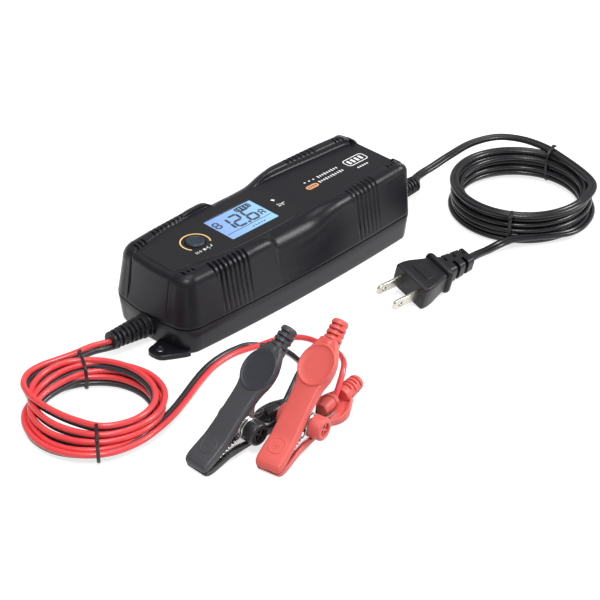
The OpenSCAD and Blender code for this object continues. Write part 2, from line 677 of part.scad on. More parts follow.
// Rows of the arm's outside: [s, half width, outer t, inner t, bevel]
arm_rows = [
    [-31.4, arm_half_w - 1.7, 1.7, 0.4, 0.4],
    [-30.7, arm_half_w - 0.9, 2.9, 0.3, 0.6],
    [-29.3, arm_half_w - 0.5, 3.8, 0.3, 0.8],
    [tip_s, arm_half_w - 0.4, tip_t, 0.4, 1],
    [-21, arm_half_w - 0.2, 5.1, 2, 1.1],
    [bend_s, arm_half_w, bend_t, 3.4, 1.1],
    [-10, arm_half_w, outer_t(-10), 5.5, 1.1],
    [-4.2, arm_half_w, outer_t(-4.2), 7.6, 1.1],
    [5, arm_half_w, outer_t(5), 9.2, 1.1],
    [9, arm_half_w + 0.2, outer_t(9), 10.2, 1.1],
    [12, pad_half_w - 1.4, outer_t(12), 12, 1.1],
    [15, pad_half_w - 0.6, outer_t(15), 13.4, 1],
    [19, pad_half_w - 0.2, outer_t(19), 14.9, 1],
    [23, pad_half_w - 0.7, outer_t(23), 16.2, 1],
    [27, pad_half_w - 2.3, outer_t(27), 17.5, 1],
    [30, pad_half_w - 4, outer_t(30), 18.5, 1],
    [32, pad_half_w - 5, outer_t(32) - 0.4, 19.5, 0.8]
];
module arm_shell() {
    n = 8;
    m = len(arm_rows);
    pts = [for (q = arm_rows) each let (s = q[0], w = q[1], o = q[2], i = q[3], b = min(q[4], (q[2] - q[3]) / 2)) [
        [w, s, i], [w, s, o - b], [w - b * 0.3, s, o - b * 0.3], [w - b, s, o],
        [-w + b, s, o], [-w + b * 0.3, s, o - b * 0.3], [-w, s, o - b], [-w, s, i]]];
    faces = concat(
        [[for (k = [n - 1 : -1 : 0]) k]],
        [for (i = [0 : m - 2]) for (k = [0 : n - 1]) let (j = (k + 1) % n) each [
            [i * n + k, i * n + j, (i + 1) * n + j], [i * n + k, (i + 1) * n + j, (i + 1) * n + k]]],
        [[for (k = [0 : n - 1]) (m - 1) * n + k]]
    );
    polyhedron(points = pts, faces = faces, convexity = 4);
}
// Flat plate in the arm's side view, points [s, t]
module side_plate(points, x, w) {
    translate([x - w / 2, 0, 0]) rotate([90, 0, 90]) linear_extrude(w) polygon(points);
}
roof_drop = cover_t / cos(handle_angle);
hollow_s = 27.5;
module arm_cover() {
    inner_w = 2 * jaw_half_w + 2 * seat_gap;
    difference() {
        union() {
            arm_shell();
            // finger pad with its raised rim
            translate([0, pad_at[0], pad_at[1]]) rotate([handle_angle, 0, 0]) translate([0, 0, -1]) difference() {
                linear_extrude(1.8) polygon([for (a = [0 : 10 : 350]) [pad_half_w * cos(a), pad_half_l * sin(a)]]);
                translate([0, 0, 1.3]) linear_extrude(2) polygon([
                    for (a = [0 : 10 : 350]) [(pad_half_w - 1.2) * cos(a), (pad_half_l - 1.4) * sin(a)]]);
            }
            // ribbed end of the handle
            translate([0, boot_at[0], boot_at[1]]) rotate([handle_angle - 90, 0, 0]) rotate_extrude() polygon([
                [0, -1.5], [3.8, -1.5], [3.9, 1.4], [3.4, 1.6], [3.4, 2.8], [4, 3], [4, 4.4], [3.4, 4.6], [3.4, 5.8],
                [3.9, 6], [3.9, 7.4], [3.3, 7.6], [3.3, 8.8], [3.8, 9], [3.6, 10.6], [2.8, 11.4], [0, 11.6]
            ]);
        }
        side_plate([
            [-29, -3], [-29, 2], [bend_s, bend_t - roof_drop], [hollow_s, outer_t(hollow_s) - roof_drop],
            [hollow_s, 4], [0, -3]
        ], 0, inner_w);
    }
}
pad_half_l = 11.5;
pad_at = handle_point(37, 0);
boot_at = handle_point(handle_l - 11.6, 4.1);

// Jaw of folded sheet: web under the plastic, two toothed walls, an ear each
module jaw(half, ear_t) {
    seat = 0.02;
    web = [
        [-28.9, 2 - seat], [bend_s, bend_t - roof_drop - seat], [18, outer_t(18) - roof_drop - seat],
        [18, outer_t(18) - roof_drop - jaw_t], [bend_s, bend_t - roof_drop - jaw_t], [-28.9, 2 - jaw_t]
    ];
    wall_line = concat(
        [[18, outer_t(18) - roof_drop - 0.2], [bend_s, bend_t - roof_drop - 0.2], [-28.9, 1.7]],
        [for (i = [0 : 8]) each [[-28.8 + i * 2.2, 0.3], [-27.7 + i * 2.2, 1]]],
        [[-5, 0.4], [4, 3], [12, 10.4], [18, 13]]
    );
    difference() {
        union() {
            side_plate(web, 0, 2 * half);
            for (side = [-1, 1]) {
                side_plate(wall_line, side * (half - jaw_t / 2), jaw_t);
                translate([side * (half - jaw_t / 2) - jaw_t / 2, 0, ear_t]) rotate([0, 90, 0])
                    cylinder(r = jaw_ear_r, h = jaw_t);
            }
        }
        translate([-half - 1, 0, ear_t]) rotate([0, 90, 0]) cylinder(r = pin_r + pin_gap, h = 2 * half + 2);
    }
}
upper_half = jaw_half_w - jaw_t - jaw_gap;

module pin() translate([-cap_end + 2.5, 0, -pin_drop]) rotate([0, 90, 0])
    cylinder(r = pin_r, h = 2 * cap_end - 5);
module caps() for (side = [-1, 1]) {
    translate([0, 0, -pin_drop]) rotate([0, side * 90, 0]) rotate_extrude() polygon([
        [pin_r, jaw_half_w + 0.2], [cap_r, jaw_half_w + 0.2], [cap_r, cap_end - 1.2], [cap_r - 1.2, cap_end],
        [cap_hollow_r, cap_end], [cap_hollow_r - 0.4, cap_end - 2], [0, cap_end - 2], [0, cap_end - 2.5],
        [pin_r, cap_end - 2.5]
    ]);
}
// Torsion spring: a leg on each web and nearly three turns round the pin
spring_mid_r = spring_r - spring_d / 2;
spring_way = concat(
    [[-1.9, 6.2, outer_t(6.2) - roof_drop - jaw_t - 0.6], [-1.9, 3.4, 4.6]],
    [for (i = [4 : 38]) let (a = 90 - i * 30)
        [-1.9 + 3.8 * (i - 4) / 34, spring_mid_r * cos(a), spring_mid_r * sin(a) - pin_drop]],
    [[1.9, 3.4, -4.6 - pin_drop], [1.9, 6.2, roof_drop + jaw_t + 0.6 - outer_t(6.2)]]
);
// Tube for ways that also run straight up: the section is carried on along the way
module wire_along(way, r, sides = 6) {
    n = len(way);
    dirs = [for (i = [0 : n - 1]) unit(way[min(i + 1, n - 1)] - way[max(i - 1, 0)])];
    pts = [
        for (i = [0 : n - 1])
            let (s = unit([1, 0, 0] - dirs[i] * dirs[i][0]), u = cross(s, dirs[i]))
                for (k = [0 : sides - 1]) way[i] + s * r * cos(360 * k / sides) + u * r * sin(360 * k / sides)
    ];
    faces = concat(
        [[for (k = [sides - 1 : -1 : 0]) k]],
        [for (i = [0 : n - 2]) for (k = [0 : sides - 1]) let (m = (k + 1) % sides) each [
            [i * sides + k, i * sides + m, (i + 1) * sides + m],
            [i * sides + k, (i + 1) * sides + m, (i + 1) * sides + k]]],
        [[for (k = [0 : sides - 1]) (n - 1) * sides + k]]
    );
    polyhedron(points = pts, faces = faces, convexity = 6);
}
// Sleeve that holds the wire, lying in the lower arm
boot_l = 11.4;
boot_depth = cover_t + jaw_t + boot_r + 0.02;
boot_end = handle_point(40, boot_depth);
module wire_boot() translate([0, boot_end[0], boot_end[1]]) rotate([handle_angle + 90, 0, 0])
    rotate_extrude() polygon([
        [0, 0], [boot_r - 0.6, 0], [boot_r, 0.8], [boot_r, boot_l - 0.8], [boot_r - 0.8, boot_l], [0, boot_l]]);

// The two wires part behind the clips and end in the sleeves
black_mouth = in_clip(black_at, black_yaw, [0, boot_end[0], -boot_end[1]]);
red_mouth = in_clip(red_at, red_yaw, [0, boot_end[0], -boot_end[1]]);
red_way = [
    [47, -47.5, 1.8], [50, -39, 2], [58, -32, 3], [70, -31, 5], [84, -34, 9], [95, -39, 13],
    red_mouth + [-4.5, 15, 8.5], red_mouth + [-1.6, 6.6, 4.2], red_mouth
];
black_way = [
    [48.5, -49, 1.8], [58, -45, 1.8], [70, -47, 3], [81, -54, 7], black_mouth + [-6.5, 17, 6.4],
    black_mouth + [-1.8, 7, 4.2], black_mouth
];
module red_wire() color(red_cable) tube_along(smooth_way(red_way, 2), wire_d / 2, wire_d / 2);
module black_wire() color(dark) tube_along(smooth_way(black_way, 2), wire_d / 2, wire_d / 2);

module black_lower_cover() color(black_plastic) in_black() lower() arm_cover();
module black_upper_cover() color(black_plastic) in_black() arm_cover();
module black_lower_jaw() color(steel) in_black() lower() jaw(jaw_half_w, pin_drop);
module black_upper_jaw() color(steel) in_black() jaw(upper_half, -pin_drop);
module black_pivot_pin() color(steel) in_black() pin();
module black_pivot_caps() color(black_plastic) in_black() caps();
module black_spring() color(steel) in_black() wire_along(spring_way, spring_d / 2);
module black_wire_boot() color(black_plastic) in_black() lower() wire_boot();
module red_lower_cover() color(red_plastic) in_red() lower() arm_cover();
module red_upper_cover() color(red_plastic) in_red() arm_cover();
module red_lower_jaw() color(steel) in_red() lower() jaw(jaw_half_w, pin_drop);
module red_upper_jaw() color(steel) in_red() jaw(upper_half, -pin_drop);
module red_pivot_pin() color(steel) in_red() pin();
module red_pivot_caps() color(red_plastic) in_red() caps();
module red_spring() color(steel) in_red() wire_along(spring_way, spring_d / 2);
module red_wire_boot() color(red_plastic) in_red() lower() wire_boot();

lower_case();
upper_cover();
case_seal();
control_panel();
display_window();
lcd_module();
display_board();
main_board();
button_cap();
button_ring();
tact_switch();
transformer();
filter_capacitors();
heat_sink();
filter_choke();
case_screws();
dc_strain_relief();
ac_strain_relief();
ac_cord_lead();
ac_coil();
ac_coil_ties();
ac_cord_tail();
plug_body();
plug_blades();
dc_lead();
dc_coil();
dc_coil_ties();
dc_tail();
red_wire();
black_wire();
black_lower_cover();
black_lower_jaw();
black_upper_cover();
black_upper_jaw();
black_pivot_pin();
black_pivot_caps();
black_spring();
black_wire_boot();
red_lower_cover();
red_lower_jaw();
red_upper_cover();
red_upper_jaw();
red_pivot_pin();
red_pivot_caps();
red_spring();
red_wire_boot();
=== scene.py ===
from math import atan, atan2, copysign, cos, degrees, exp, hypot, pi, radians, sin, tan

import bmesh
import bpy
import numpy as np
from mathutils import Matrix, Vector


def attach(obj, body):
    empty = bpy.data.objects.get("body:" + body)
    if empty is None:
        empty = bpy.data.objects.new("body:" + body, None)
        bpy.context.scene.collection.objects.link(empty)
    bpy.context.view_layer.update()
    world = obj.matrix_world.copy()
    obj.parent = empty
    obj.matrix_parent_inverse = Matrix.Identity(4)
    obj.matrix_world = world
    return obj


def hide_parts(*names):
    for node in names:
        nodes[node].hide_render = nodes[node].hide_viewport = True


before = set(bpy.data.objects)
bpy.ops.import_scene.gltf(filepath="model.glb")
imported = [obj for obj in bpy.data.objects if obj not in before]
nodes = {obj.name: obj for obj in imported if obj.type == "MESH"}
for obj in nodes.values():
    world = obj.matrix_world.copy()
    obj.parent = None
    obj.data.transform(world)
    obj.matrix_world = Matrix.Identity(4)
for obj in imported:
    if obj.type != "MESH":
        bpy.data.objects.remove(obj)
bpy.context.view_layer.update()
mm = 0.001
still = Matrix.Identity(4)
scene = bpy.context.scene
scene.view_settings.view_transform = "Standard"


# camera
viewpoint = {
    "place": (0.5738, -0.5493, 0.5184), "target": (0.0303, -0.0058, 0.0),
    "sensor": 36.0, "lens": 106.8, "clip": (0.01, 20),
}


def aimAt(thing, place, target):
    scene.collection.objects.link(thing)
    thing.location = place
    thing.rotation_mode = "QUATERNION"
    thing.rotation_quaternion = (Vector(target) - thing.location).to_track_quat("-Z", "Y")


def makeCamera():
    data = bpy.data.cameras.new("camera")
    data.sensor_width, data.lens = viewpoint["sensor"], viewpoint["lens"]
    data.clip_start, data.clip_end = viewpoint["clip"]
    scene.camera = bpy.data.objects.new("camera", data)
    aimAt(scene.camera, viewpoint["place"], viewpoint["target"])


# numbers, colours and links of a material, joined with + - * and compared with < >
class Wire:
    def __init__(self, finish, socket):
        self.finish, self.socket = finish, socket

    def calc(self, how, left, right):
        return self.finish.add("ShaderNodeMath", {"operation": how}, {0: left, 1: right})

    def __add__(self, other):
        return self.calc("ADD", self, other)

    def __radd__(self, other):
        return self.calc("ADD", other, self)

    def __sub__(self, other):
        return self.calc("SUBTRACT", self, other)

    def __rsub__(self, other):
        return self.calc("SUBTRACT", other, self)

    def __mul__(self, other):
        return self.calc("MULTIPLY", self, other)

    def __rmul__(self, other):
        return self.calc("MULTIPLY", other, self)

    def __lt__(self, other):
        return self.calc("LESS_THAN", self, other)

    def __gt__(self, other):
        return self.calc("GREATER_THAN", self, other)


class Finish:
    def __init__(self, name, **fixed):
        self.material = bpy.data.materials.new(name)
        self.material.use_nodes = True
        self.tree = self.material.node_tree
        self.shader = self.tree.nodes["Principled BSDF"]
        for socket, value in fixed.items():
            self.shader.inputs[socket.replace("_", " ")].default_value = value

    def join(self, target, value):
        if isinstance(value, Wire):
            self.tree.links.new(value.socket, target)
        else:
            target.default_value = value

    def add(self, kind, settings=None, values=None, out=0):
        node = self.tree.nodes.new(kind)
        for key, setting in (settings or {}).items():
            setattr(node, key, setting)
        for key, value in (values or {}).items():
            self.join(node.inputs[key], value)
        return Wire(self, node.outputs[out])

    def set(self, socket, value):
        self.join(self.shader.inputs[socket], value)
        return self

    def place(self):
        return self.add("ShaderNodeTexCoord", out="Object")

    def noise(self, scale, detail=2.0, rough=0.5, at=None):
        values = {"Vector": at or self.place(), "Scale": scale, "Detail": detail, "Roughness": rough}
        return self.add("ShaderNodeTexNoise", None, values, "Fac")

    def mix(self, share, first, second):
        values = {0: share, 6: rgb(*first), 7: rgb(*second)}
        return self.add("ShaderNodeMix", {"data_type": "RGBA"}, values, 2)

    def axis(self, name, at):
        return self.add("ShaderNodeSeparateXYZ", None, {0: at}, name)

    def bump(self, height, depth):
        return self.add("ShaderNodeBump", None, {"Height": height, "Distance": depth})


def rgb(red, green, blue):
    return (red, green, blue, 1.0)


# moulded plastic: fine spark grain, slow drift of colour and gloss, light scuffs
def plastic(name, colour, worn, gloss, grain=2600, depth=0.00004, sheen=0.5):
    drift, scuffed = 0.12, 0.71
    finish = Finish(name, IOR=1.48, Coat_Roughness=0.18, Coat_Weight=0.0, Specular_IOR_Level=sheen)
    slow = finish.noise(28, 3)
    fine = finish.noise(grain, 2, 0.6)
    scuff = finish.noise(420, 4, 0.7) > scuffed
    finish.set("Base Color", finish.mix(slow * (2 * drift) + scuff * 0.1, colour, worn))
    finish.set("Roughness", slow * drift + fine * 0.1 + (gloss - drift / 2 - 0.05))
    return finish.set("Normal", finish.bump(fine, depth))


# soft insulation: smooth and glossy, with faint long waves from the coiling
def insulation(name, colour, edge, gloss, coat, sheen=0.5):
    finish = Finish(name, IOR=1.5, Coat_Weight=coat, Coat_Roughness=0.12, Specular_IOR_Level=sheen)
    wave = finish.noise(90, 2)
    fine = finish.noise(1900, 2)
    finish.set("Base Color", finish.mix(wave, colour, edge))
    finish.set("Roughness", wave * 0.12 + fine * 0.06 + (gloss - 0.09))
    return finish.set("Normal", finish.bump(fine * 0.4 + wave, 0.00006))


# rolled or plated metal with fine marks along one axis
def metal(name, colour, tint, gloss, stretch=(1, 30, 1)):
    finish = Finish(name, Metallic=1.0)
    at = finish.add("ShaderNodeMapping", None, {"Vector": finish.place(), "Scale": stretch})
    marks = finish.noise(160, 3, 0.6, at)
    cloud = finish.noise(70, 3)
    finish.set("Base Color", finish.mix(cloud, colour, tint))
    finish.set("Roughness", marks * 0.16 + cloud * 0.1 + (gloss - 0.13))
    return finish.set("Normal", finish.bump(marks, 0.00001))


# backlit display: violet blue at the front end, paler and greener at the rear
def litFace():
    finish = Finish("lcdBacklight", Roughness=0.35, Emission_Strength=0.3)
    at = finish.place()
    along = (finish.axis("Y", at) + 0.0346) * 30
    across = (finish.axis("X", at) + 0.0115) * 43
    cloud = finish.noise(140, 3, 0.5, at)
    share = finish.add("ShaderNodeClamp", None, {0: along * 0.75 + across * 0.2 + cloud * 0.14 - 0.05})
    colour = finish.mix(share, (0.21, 0.33, 0.68), (0.3, 0.58, 0.78))
    finish.set("Base Color", colour)
    return finish.set("Emission Color", colour)


def clearWindow():
    finish = Finish("windowClear", IOR=1.3, Coat_Weight=0.0)
    fine = finish.noise(800, 2)
    finish.set("Base Color", rgb(0.2, 0.28, 0.4))
    finish.set("Roughness", fine * 0.04 + 0.08)
    return finish.set("Alpha", 0.1 + fine * 0.01)


# name, colour, second colour and roughness; then grain and its depth, or the coat of an insulation
finishes = {
    "case": plastic("caseCharcoal", (0.0075, 0.0075, 0.0105), (0.015, 0.015, 0.02), 0.31, sheen=0.26),
    "seal": plastic("sealBlack", (0.004, 0.004, 0.004), (0.008, 0.008, 0.009), 0.7),
    "label": plastic("labelFilm", (0.008, 0.008, 0.0095), (0.013, 0.013, 0.0155), 0.4, 3400, 0.00002, 0.3),
    "button": plastic("buttonBlue", (0.012, 0.02, 0.03), (0.02, 0.03, 0.042), 0.45),
    "rubber": plastic("sleeveRubber", (0.012, 0.012, 0.014), (0.024, 0.024, 0.028), 0.42, 1500, 0.00005,
                      0.35),
    "mains": insulation("mainsBlack", (0.005, 0.005, 0.0065), (0.01, 0.01, 0.012), 0.28, 0.2, 0.35),
    "plug": plastic("plugBlack", (0.006, 0.006, 0.008), (0.013, 0.013, 0.016), 0.38, 1800, sheen=0.36),
    "redWire": insulation("wireRed", (0.68, 0.032, 0.038), (0.78, 0.06, 0.065), 0.34, 0.3),
    "blackWire": insulation("wireBlack", (0.014, 0.014, 0.018), (0.026, 0.026, 0.032), 0.36, 0.2),
    "tie": plastic("tieBlack", (0.006, 0.006, 0.007), (0.014, 0.014, 0.016), 0.4),
    "blackClip": plastic("clipBlack", (0.04, 0.039, 0.045), (0.066, 0.064, 0.072), 0.44),
    # painted shade: a darker copy of the black clip's plastic for its lower half, caps and boot, which lie in
    # shade under the upper arm lit from above
    "blackPaintedShade": plastic("clipUnderBlack", (0.013, 0.013, 0.015), (0.024, 0.024, 0.027), 0.34),
    "blackPad": plastic("clipPadBlack", (0.022, 0.024, 0.033), (0.036, 0.038, 0.052), 0.4),
    "redClip": plastic("clipRed", (0.64, 0.09, 0.078), (0.72, 0.13, 0.115), 0.42),
    "blade": metal("bladeNickel", (0.56, 0.53, 0.46), (0.68, 0.66, 0.6), 0.3),
    "jaw": metal("jawZinc", (0.66, 0.66, 0.66), (0.8, 0.79, 0.77), 0.3),
    "spring": metal("springSteel", (0.5, 0.5, 0.51), (0.62, 0.62, 0.63), 0.28),
    "board": plastic("boardGreen", (0.012, 0.075, 0.03), (0.02, 0.11, 0.045), 0.36, 900),
    "winding": plastic("windingTape", (0.55, 0.36, 0.05), (0.68, 0.47, 0.09), 0.5, 700),
    "capacitor": plastic("capacitorSleeve", (0.01, 0.011, 0.018), (0.03, 0.03, 0.04), 0.3),
    "choke": plastic("chokeCopper", (0.42, 0.13, 0.04), (0.58, 0.2, 0.07), 0.34, 500),
    "sink": metal("sinkAluminium", (0.72, 0.73, 0.74), (0.84, 0.84, 0.84), 0.34),
    "screw": metal("screwZinc", (0.5, 0.5, 0.5), (0.66, 0.65, 0.62), 0.32),
    "ringMark": plastic("ringGold", (0.78, 0.5, 0.2), (0.86, 0.6, 0.28), 0.4, 3000, 0.00001),
    "pill": plastic("printOrange", (0.62, 0.3, 0.14), (0.7, 0.38, 0.19), 0.5, 3000, 0.00001),
    "print": plastic("printWhite", (0.72, 0.72, 0.72), (0.82, 0.82, 0.82), 0.5, 3000, 0.00001),
    "lcdFrame": plastic("lcdFrame", (0.02, 0.02, 0.024), (0.035, 0.035, 0.04), 0.5),
    "ink": plastic("lcdInk", (0.006, 0.01, 0.03), (0.012, 0.018, 0.045), 0.5, 3000, 0.00001),
    "lcdFace": litFace(),
    "window": clearWindow(),
}
print("finishes made")


# mesh pieces
def addPiece(name, mesh, finish, body):
    piece = bpy.data.objects.new(name, mesh)
    scene.collection.objects.link(piece)
    mesh.materials.append(finishes[finish].material)
    mesh.shade_smooth()
    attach(piece, body)
    return piece


def makeMesh(name, points, faces, finish, body="body"):
    mesh = bpy.data.meshes.new(name)
    mesh.from_pydata([tuple(map(float, p)) for p in points], [], faces)
    mesh.validate()
    work = bmesh.new()
    work.from_mesh(mesh)
    bmesh.ops.recalc_face_normals(work, faces=work.faces)
    work.to_mesh(mesh)
    work.free()
    return addPiece(name, mesh, finish, body)


def inPlace(place, points):
    return [place @ (Vector(p) * mm) for p in points]


# closed skin over rings of points; the ends are flat, or fans round two tips, or meet in a loop
def skin(name, points, sides, finish, body="body", tips=None, loop=False):
    points = list(points)
    count = len(points) // sides
    faces = [(i * sides + k, i * sides + (k + 1) % sides, (i + 1) % count * sides + (k + 1) % sides,
              (i + 1) % count * sides + k) for i in range(count if loop else count - 1) for k in range(sides)]
    if tips:
        for i, tip in zip((0, count - 1), tips):
            points.append(tip)
            faces += [(i * sides + k, i * sides + (k + 1) % sides, len(points) - 1) for k in range(sides)]
    elif not loop:
        faces += [tuple(range(sides)), tuple((count - 1) * sides + k for k in range(sides))]
    return makeMesh(name, points, faces, finish, body)


def sharpen(piece, angle):
    piece.data.set_sharp_from_angle(angle=radians(angle))
    return piece


# several meshes as one piece
def joined(pieces, name=None):
    work = bmesh.new()
    for piece in pieces:
        work.from_mesh(piece.data)
    for piece in pieces[1:]:
        bpy.data.objects.remove(piece)
    work.to_mesh(pieces[0].data)
    work.free()
    if name:
        pieces[0].name = name
    return pieces[0]


# moved in millimetres, then turned in degrees about each axis in the order given
def placed(at, **turns):
    made = Matrix.Translation(Vector(at) * mm)
    for axis, angle in turns.items():
        made = made @ Matrix.Rotation(radians(angle), 4, axis.upper())
    return made


def unit(rows):
    return rows / np.linalg.norm(rows, axis=1)[:, None]


def wayLength(way):
    return float(np.linalg.norm(np.diff(way, axis=0), axis=1).sum())


# smooth way through given points, in even steps
def easedWay(points, step):
    given = np.array(points, float)
    spans = np.linalg.norm(np.diff(given, axis=0), axis=1) ** 0.5
    marks = np.concatenate([[0], np.cumsum(spans)])
    padded = np.vstack([2 * given[0] - given[1], given, 2 * given[-1] - given[-2]])
    knots = np.concatenate([[-spans[0]], marks, [marks[-1] + spans[-1]]])

    def between(t, start, end, first, last):
        return (end - t) / (end - start) * first + (t - start) / (end - start) * last

    fine = []
    for i in range(1, len(padded) - 2):
        t0, t1, t2, t3 = knots[i - 1:i + 3]
        p0, p1, p2, p3 = padded[i - 1:i + 3]
        for t in np.linspace(t1, t2, 24, endpoint=False):
            a1, a2, a3 = between(t, t0, t1, p0, p1), between(t, t1, t2, p1, p2), between(t, t2, t3, p2, p3)
            fine.append(between(t, t1, t2, between(t, t0, t2, a1, a2), between(t, t1, t3, a2, a3)))
    fine = np.array([*fine, given[-1]])
    run = np.concatenate([[0], np.cumsum(np.linalg.norm(np.diff(fine, axis=0), axis=1))])
    even = np.linspace(0, run[-1], int(run[-1] / step) + 1)
    return np.stack([np.interp(even, run, column) for column in fine.T], 1)


# an outline carried along a way; across says where its first axis points, level if it isn't given
def sweep(name, way, outline, finish, body="body", across=None, sizes=1.0):
    along = unit(np.gradient(way, axis=0))
    side = np.cross(along, [0, 0, 1.0]) if across is None else across
    side = unit(side - along * (side * along).sum(1)[:, None])
    up = np.cross(side, along)
    outline = np.array(outline)
    sizes = (np.ones(len(way)) * sizes)[:, None, None]
    points = (way[:, None, :] + side[:, None, :] * outline[None, :, 0, None] * sizes
              + up[:, None, :] * outline[None, :, 1, None] * sizes)
    return skin(name, points.reshape(-1, 3), len(outline), finish, body)


def circle(radius, x=0.0, y=0.0, sides=64):
    return [(x + radius * cos(a), y + radius * sin(a)) for a in np.linspace(0, 2 * pi, sides, False)]


def roundedBox(wide, long, radius, steps=5):
    inX, inY, outline = wide / 2 - radius, long / 2 - radius, []
    for sx, sy, start in ((1, 1, 0), (-1, 1, 90), (-1, -1, 180), (1, -1, 270)):
        for a in np.radians(np.linspace(start, start + 90, steps + 1)):
            outline.append((sx * inX + radius * cos(a), sy * inY + radius * sin(a)))
    return outline


def moved(outline, x, y):
    return [(px + x, py + y) for px, py in outline]


# turned piece: rows of radius and height about an axis; a notch may change the radius
def lathe(name, rows, finish, place, body="body", sides=48, notch=None):
    points = []
    for r, h in rows:
        for a in np.linspace(0, 2 * pi, sides, False):
            kept = notch(r, h, degrees(a)) if notch else r
            points.append((kept * cos(a), kept * sin(a), h))
    tips = inPlace(place, [(0, 0, rows[0][1]), (0, 0, rows[-1][1])])
    return sharpen(skin(name, inPlace(place, points), sides, finish, body, tips), 38)


# rounded slab along Y: rows of place, half width, half height and corner radius
def slab(name, rows, finish, place, cut=None):
    points = [(cut(y, x) if cut else x, y, z)
              for y, w, h, r in rows for x, z in roundedBox(2 * w, 2 * h, r, 6)]
    return skin(name, inPlace(place, points), len(points) // len(rows), finish)


# flat plate: outline with holes, from low to high along Z, its edges broken by a small bevel
def plate(name, outline, low, high, finish, place=still, bevel=0.0, holes=(), body="body"):
    work = bmesh.new()
    loops = []
    for loop in [outline, *holes]:
        corners = [work.verts.new((x * mm, y * mm, low * mm)) for x, y in loop]
        loops += [work.edges.new((corners[i], corners[(i + 1) % len(corners)])) for i in range(len(corners))]
    bmesh.ops.triangle_fill(work, use_beauty=True, use_dissolve=True, edges=loops)
    made = bmesh.ops.extrude_face_region(work, geom=work.faces[:])
    top = [g for g in made["geom"] if isinstance(g, bmesh.types.BMVert)]
    bmesh.ops.translate(work, vec=(0, 0, (high - low) * mm), verts=top)
    bmesh.ops.recalc_face_normals(work, faces=work.faces)
    if bevel:
        sharp = [e for e in work.edges if len(e.link_faces) == 2 and e.calc_face_angle(0) > radians(30)]
        bmesh.ops.bevel(work, geom=sharp, offset=bevel * mm, segments=1, profile=0.5, affect="EDGES",
                        clamp_overlap=True)
    bmesh.ops.transform(work, matrix=place, verts=work.verts)
    mesh = bpy.data.meshes.new(name)
    work.to_mesh(mesh)
    work.free()
    return sharpen(addPiece(name, mesh, finish, body), 42)


def cutBy(piece, *cutters):
    for cutter in cutters:
        modifier = piece.modifiers.new("cut", "BOOLEAN")
        modifier.object, modifier.operation, modifier.solver = cutter, "DIFFERENCE", "EXACT"
        graph = bpy.context.evaluated_depsgraph_get()
        made = bpy.data.meshes.new_from_object(piece.evaluated_get(graph))
        piece.modifiers.clear()
        piece.data = made
        bpy.data.objects.remove(cutter)
    return piece


# mains lead: one flat twin cord, from the sleeve round the coil and into the plug
mains = {
    "width": 5.4 * mm, "thick": 2.7 * mm,
    "lead": [(0, 114, 7), (0, 116.8, 7), (-3.5, 121.5, 7), (-5, 129, 7), (-5, 137, 7.5), (-4, 152, 10)],
    "over": [(-0.5, 166.5, 13.5), (8, 178.5, 16.2), (20, 185, 17.2), (34, 187.2, 17.4), (47, 185.6, 17.4)],
    "tail": [(76.2, 110.0, 6.2), (74.2, 104.5, 5.4), (73.7, 99, 5.4), (74.2, 92, 6.3), (75.0, 85, 8.0),
             (75.7, 79, 9.2), (76, 75, 9.5), (75.7, 71, 9.5)],
    "turns": 6.31, "perTurn": 16, "startAngle": 84.0, "radius": 36.3, "topHeight": 17.6, "fall": 14.9,
    "centres": ((51.4, 53.2), (149.2, 145.4)),  # x and y, at the top and at the base
    "wobble": ((0.7, 2.2, 0.6), (0.5, 0.9 * pi, 0)), "settle": (1.9, 2.4),
    "swing": (3.4, 0.9, 0.8), "lift": (2.6, 0.3, 0.3),  # size, how long before the end, and reach
    "step": 2.2,
}


def ramped(value, start, reach):
    return min(1.0, max(0.0, value - start) / reach)


def mainsWay():
    points, turns = mains["lead"] + mains["over"], mains["turns"]
    for i in range(2, int(turns * mains["perTurn"]) + 1):
        turn = i / mains["perTurn"]
        a = radians(mains["startAngle"] - 360 * turn)
        cx, cy = (top + (base - top) * turn / turns for top, base in mains["centres"])
        r = mains["radius"] + sum(size * sin(rate * turn + phase) for size, rate, phase in mains["wobble"])
        r += mains["settle"][0] * exp(-turn * mains["settle"][1])
        z = mains["topHeight"] - mains["fall"] * ramped(turn, 0.2, turns - 1.2)
        swing, lift = (size * ramped(turn, turns - before, reach)
                       for size, before, reach in (mains["swing"], mains["lift"]))
        points.append((cx + (r + swing) * cos(a), cy + (r + swing) * sin(a), z + lift))
    return easedWay(points + mains["tail"], mains["step"]) * mm


def twinOutline(width, thick):
    r, waist = thick / 2, 160  # the two round cores meet in a shallow groove
    half = [(width / 2 - r + r * cos(a), r * sin(a)) for a in np.radians(np.linspace(-waist, waist, 13))]
    return half + [(-x, -y) for x, y in half]


def makeMains():
    way = mainsWay()
    cord = sweep("mainsCord", way, twinOutline(mains["width"], mains["thick"]), "mains")
    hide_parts("ac_cord_lead", "ac_coil", "ac_cord_tail")
    return cord, way


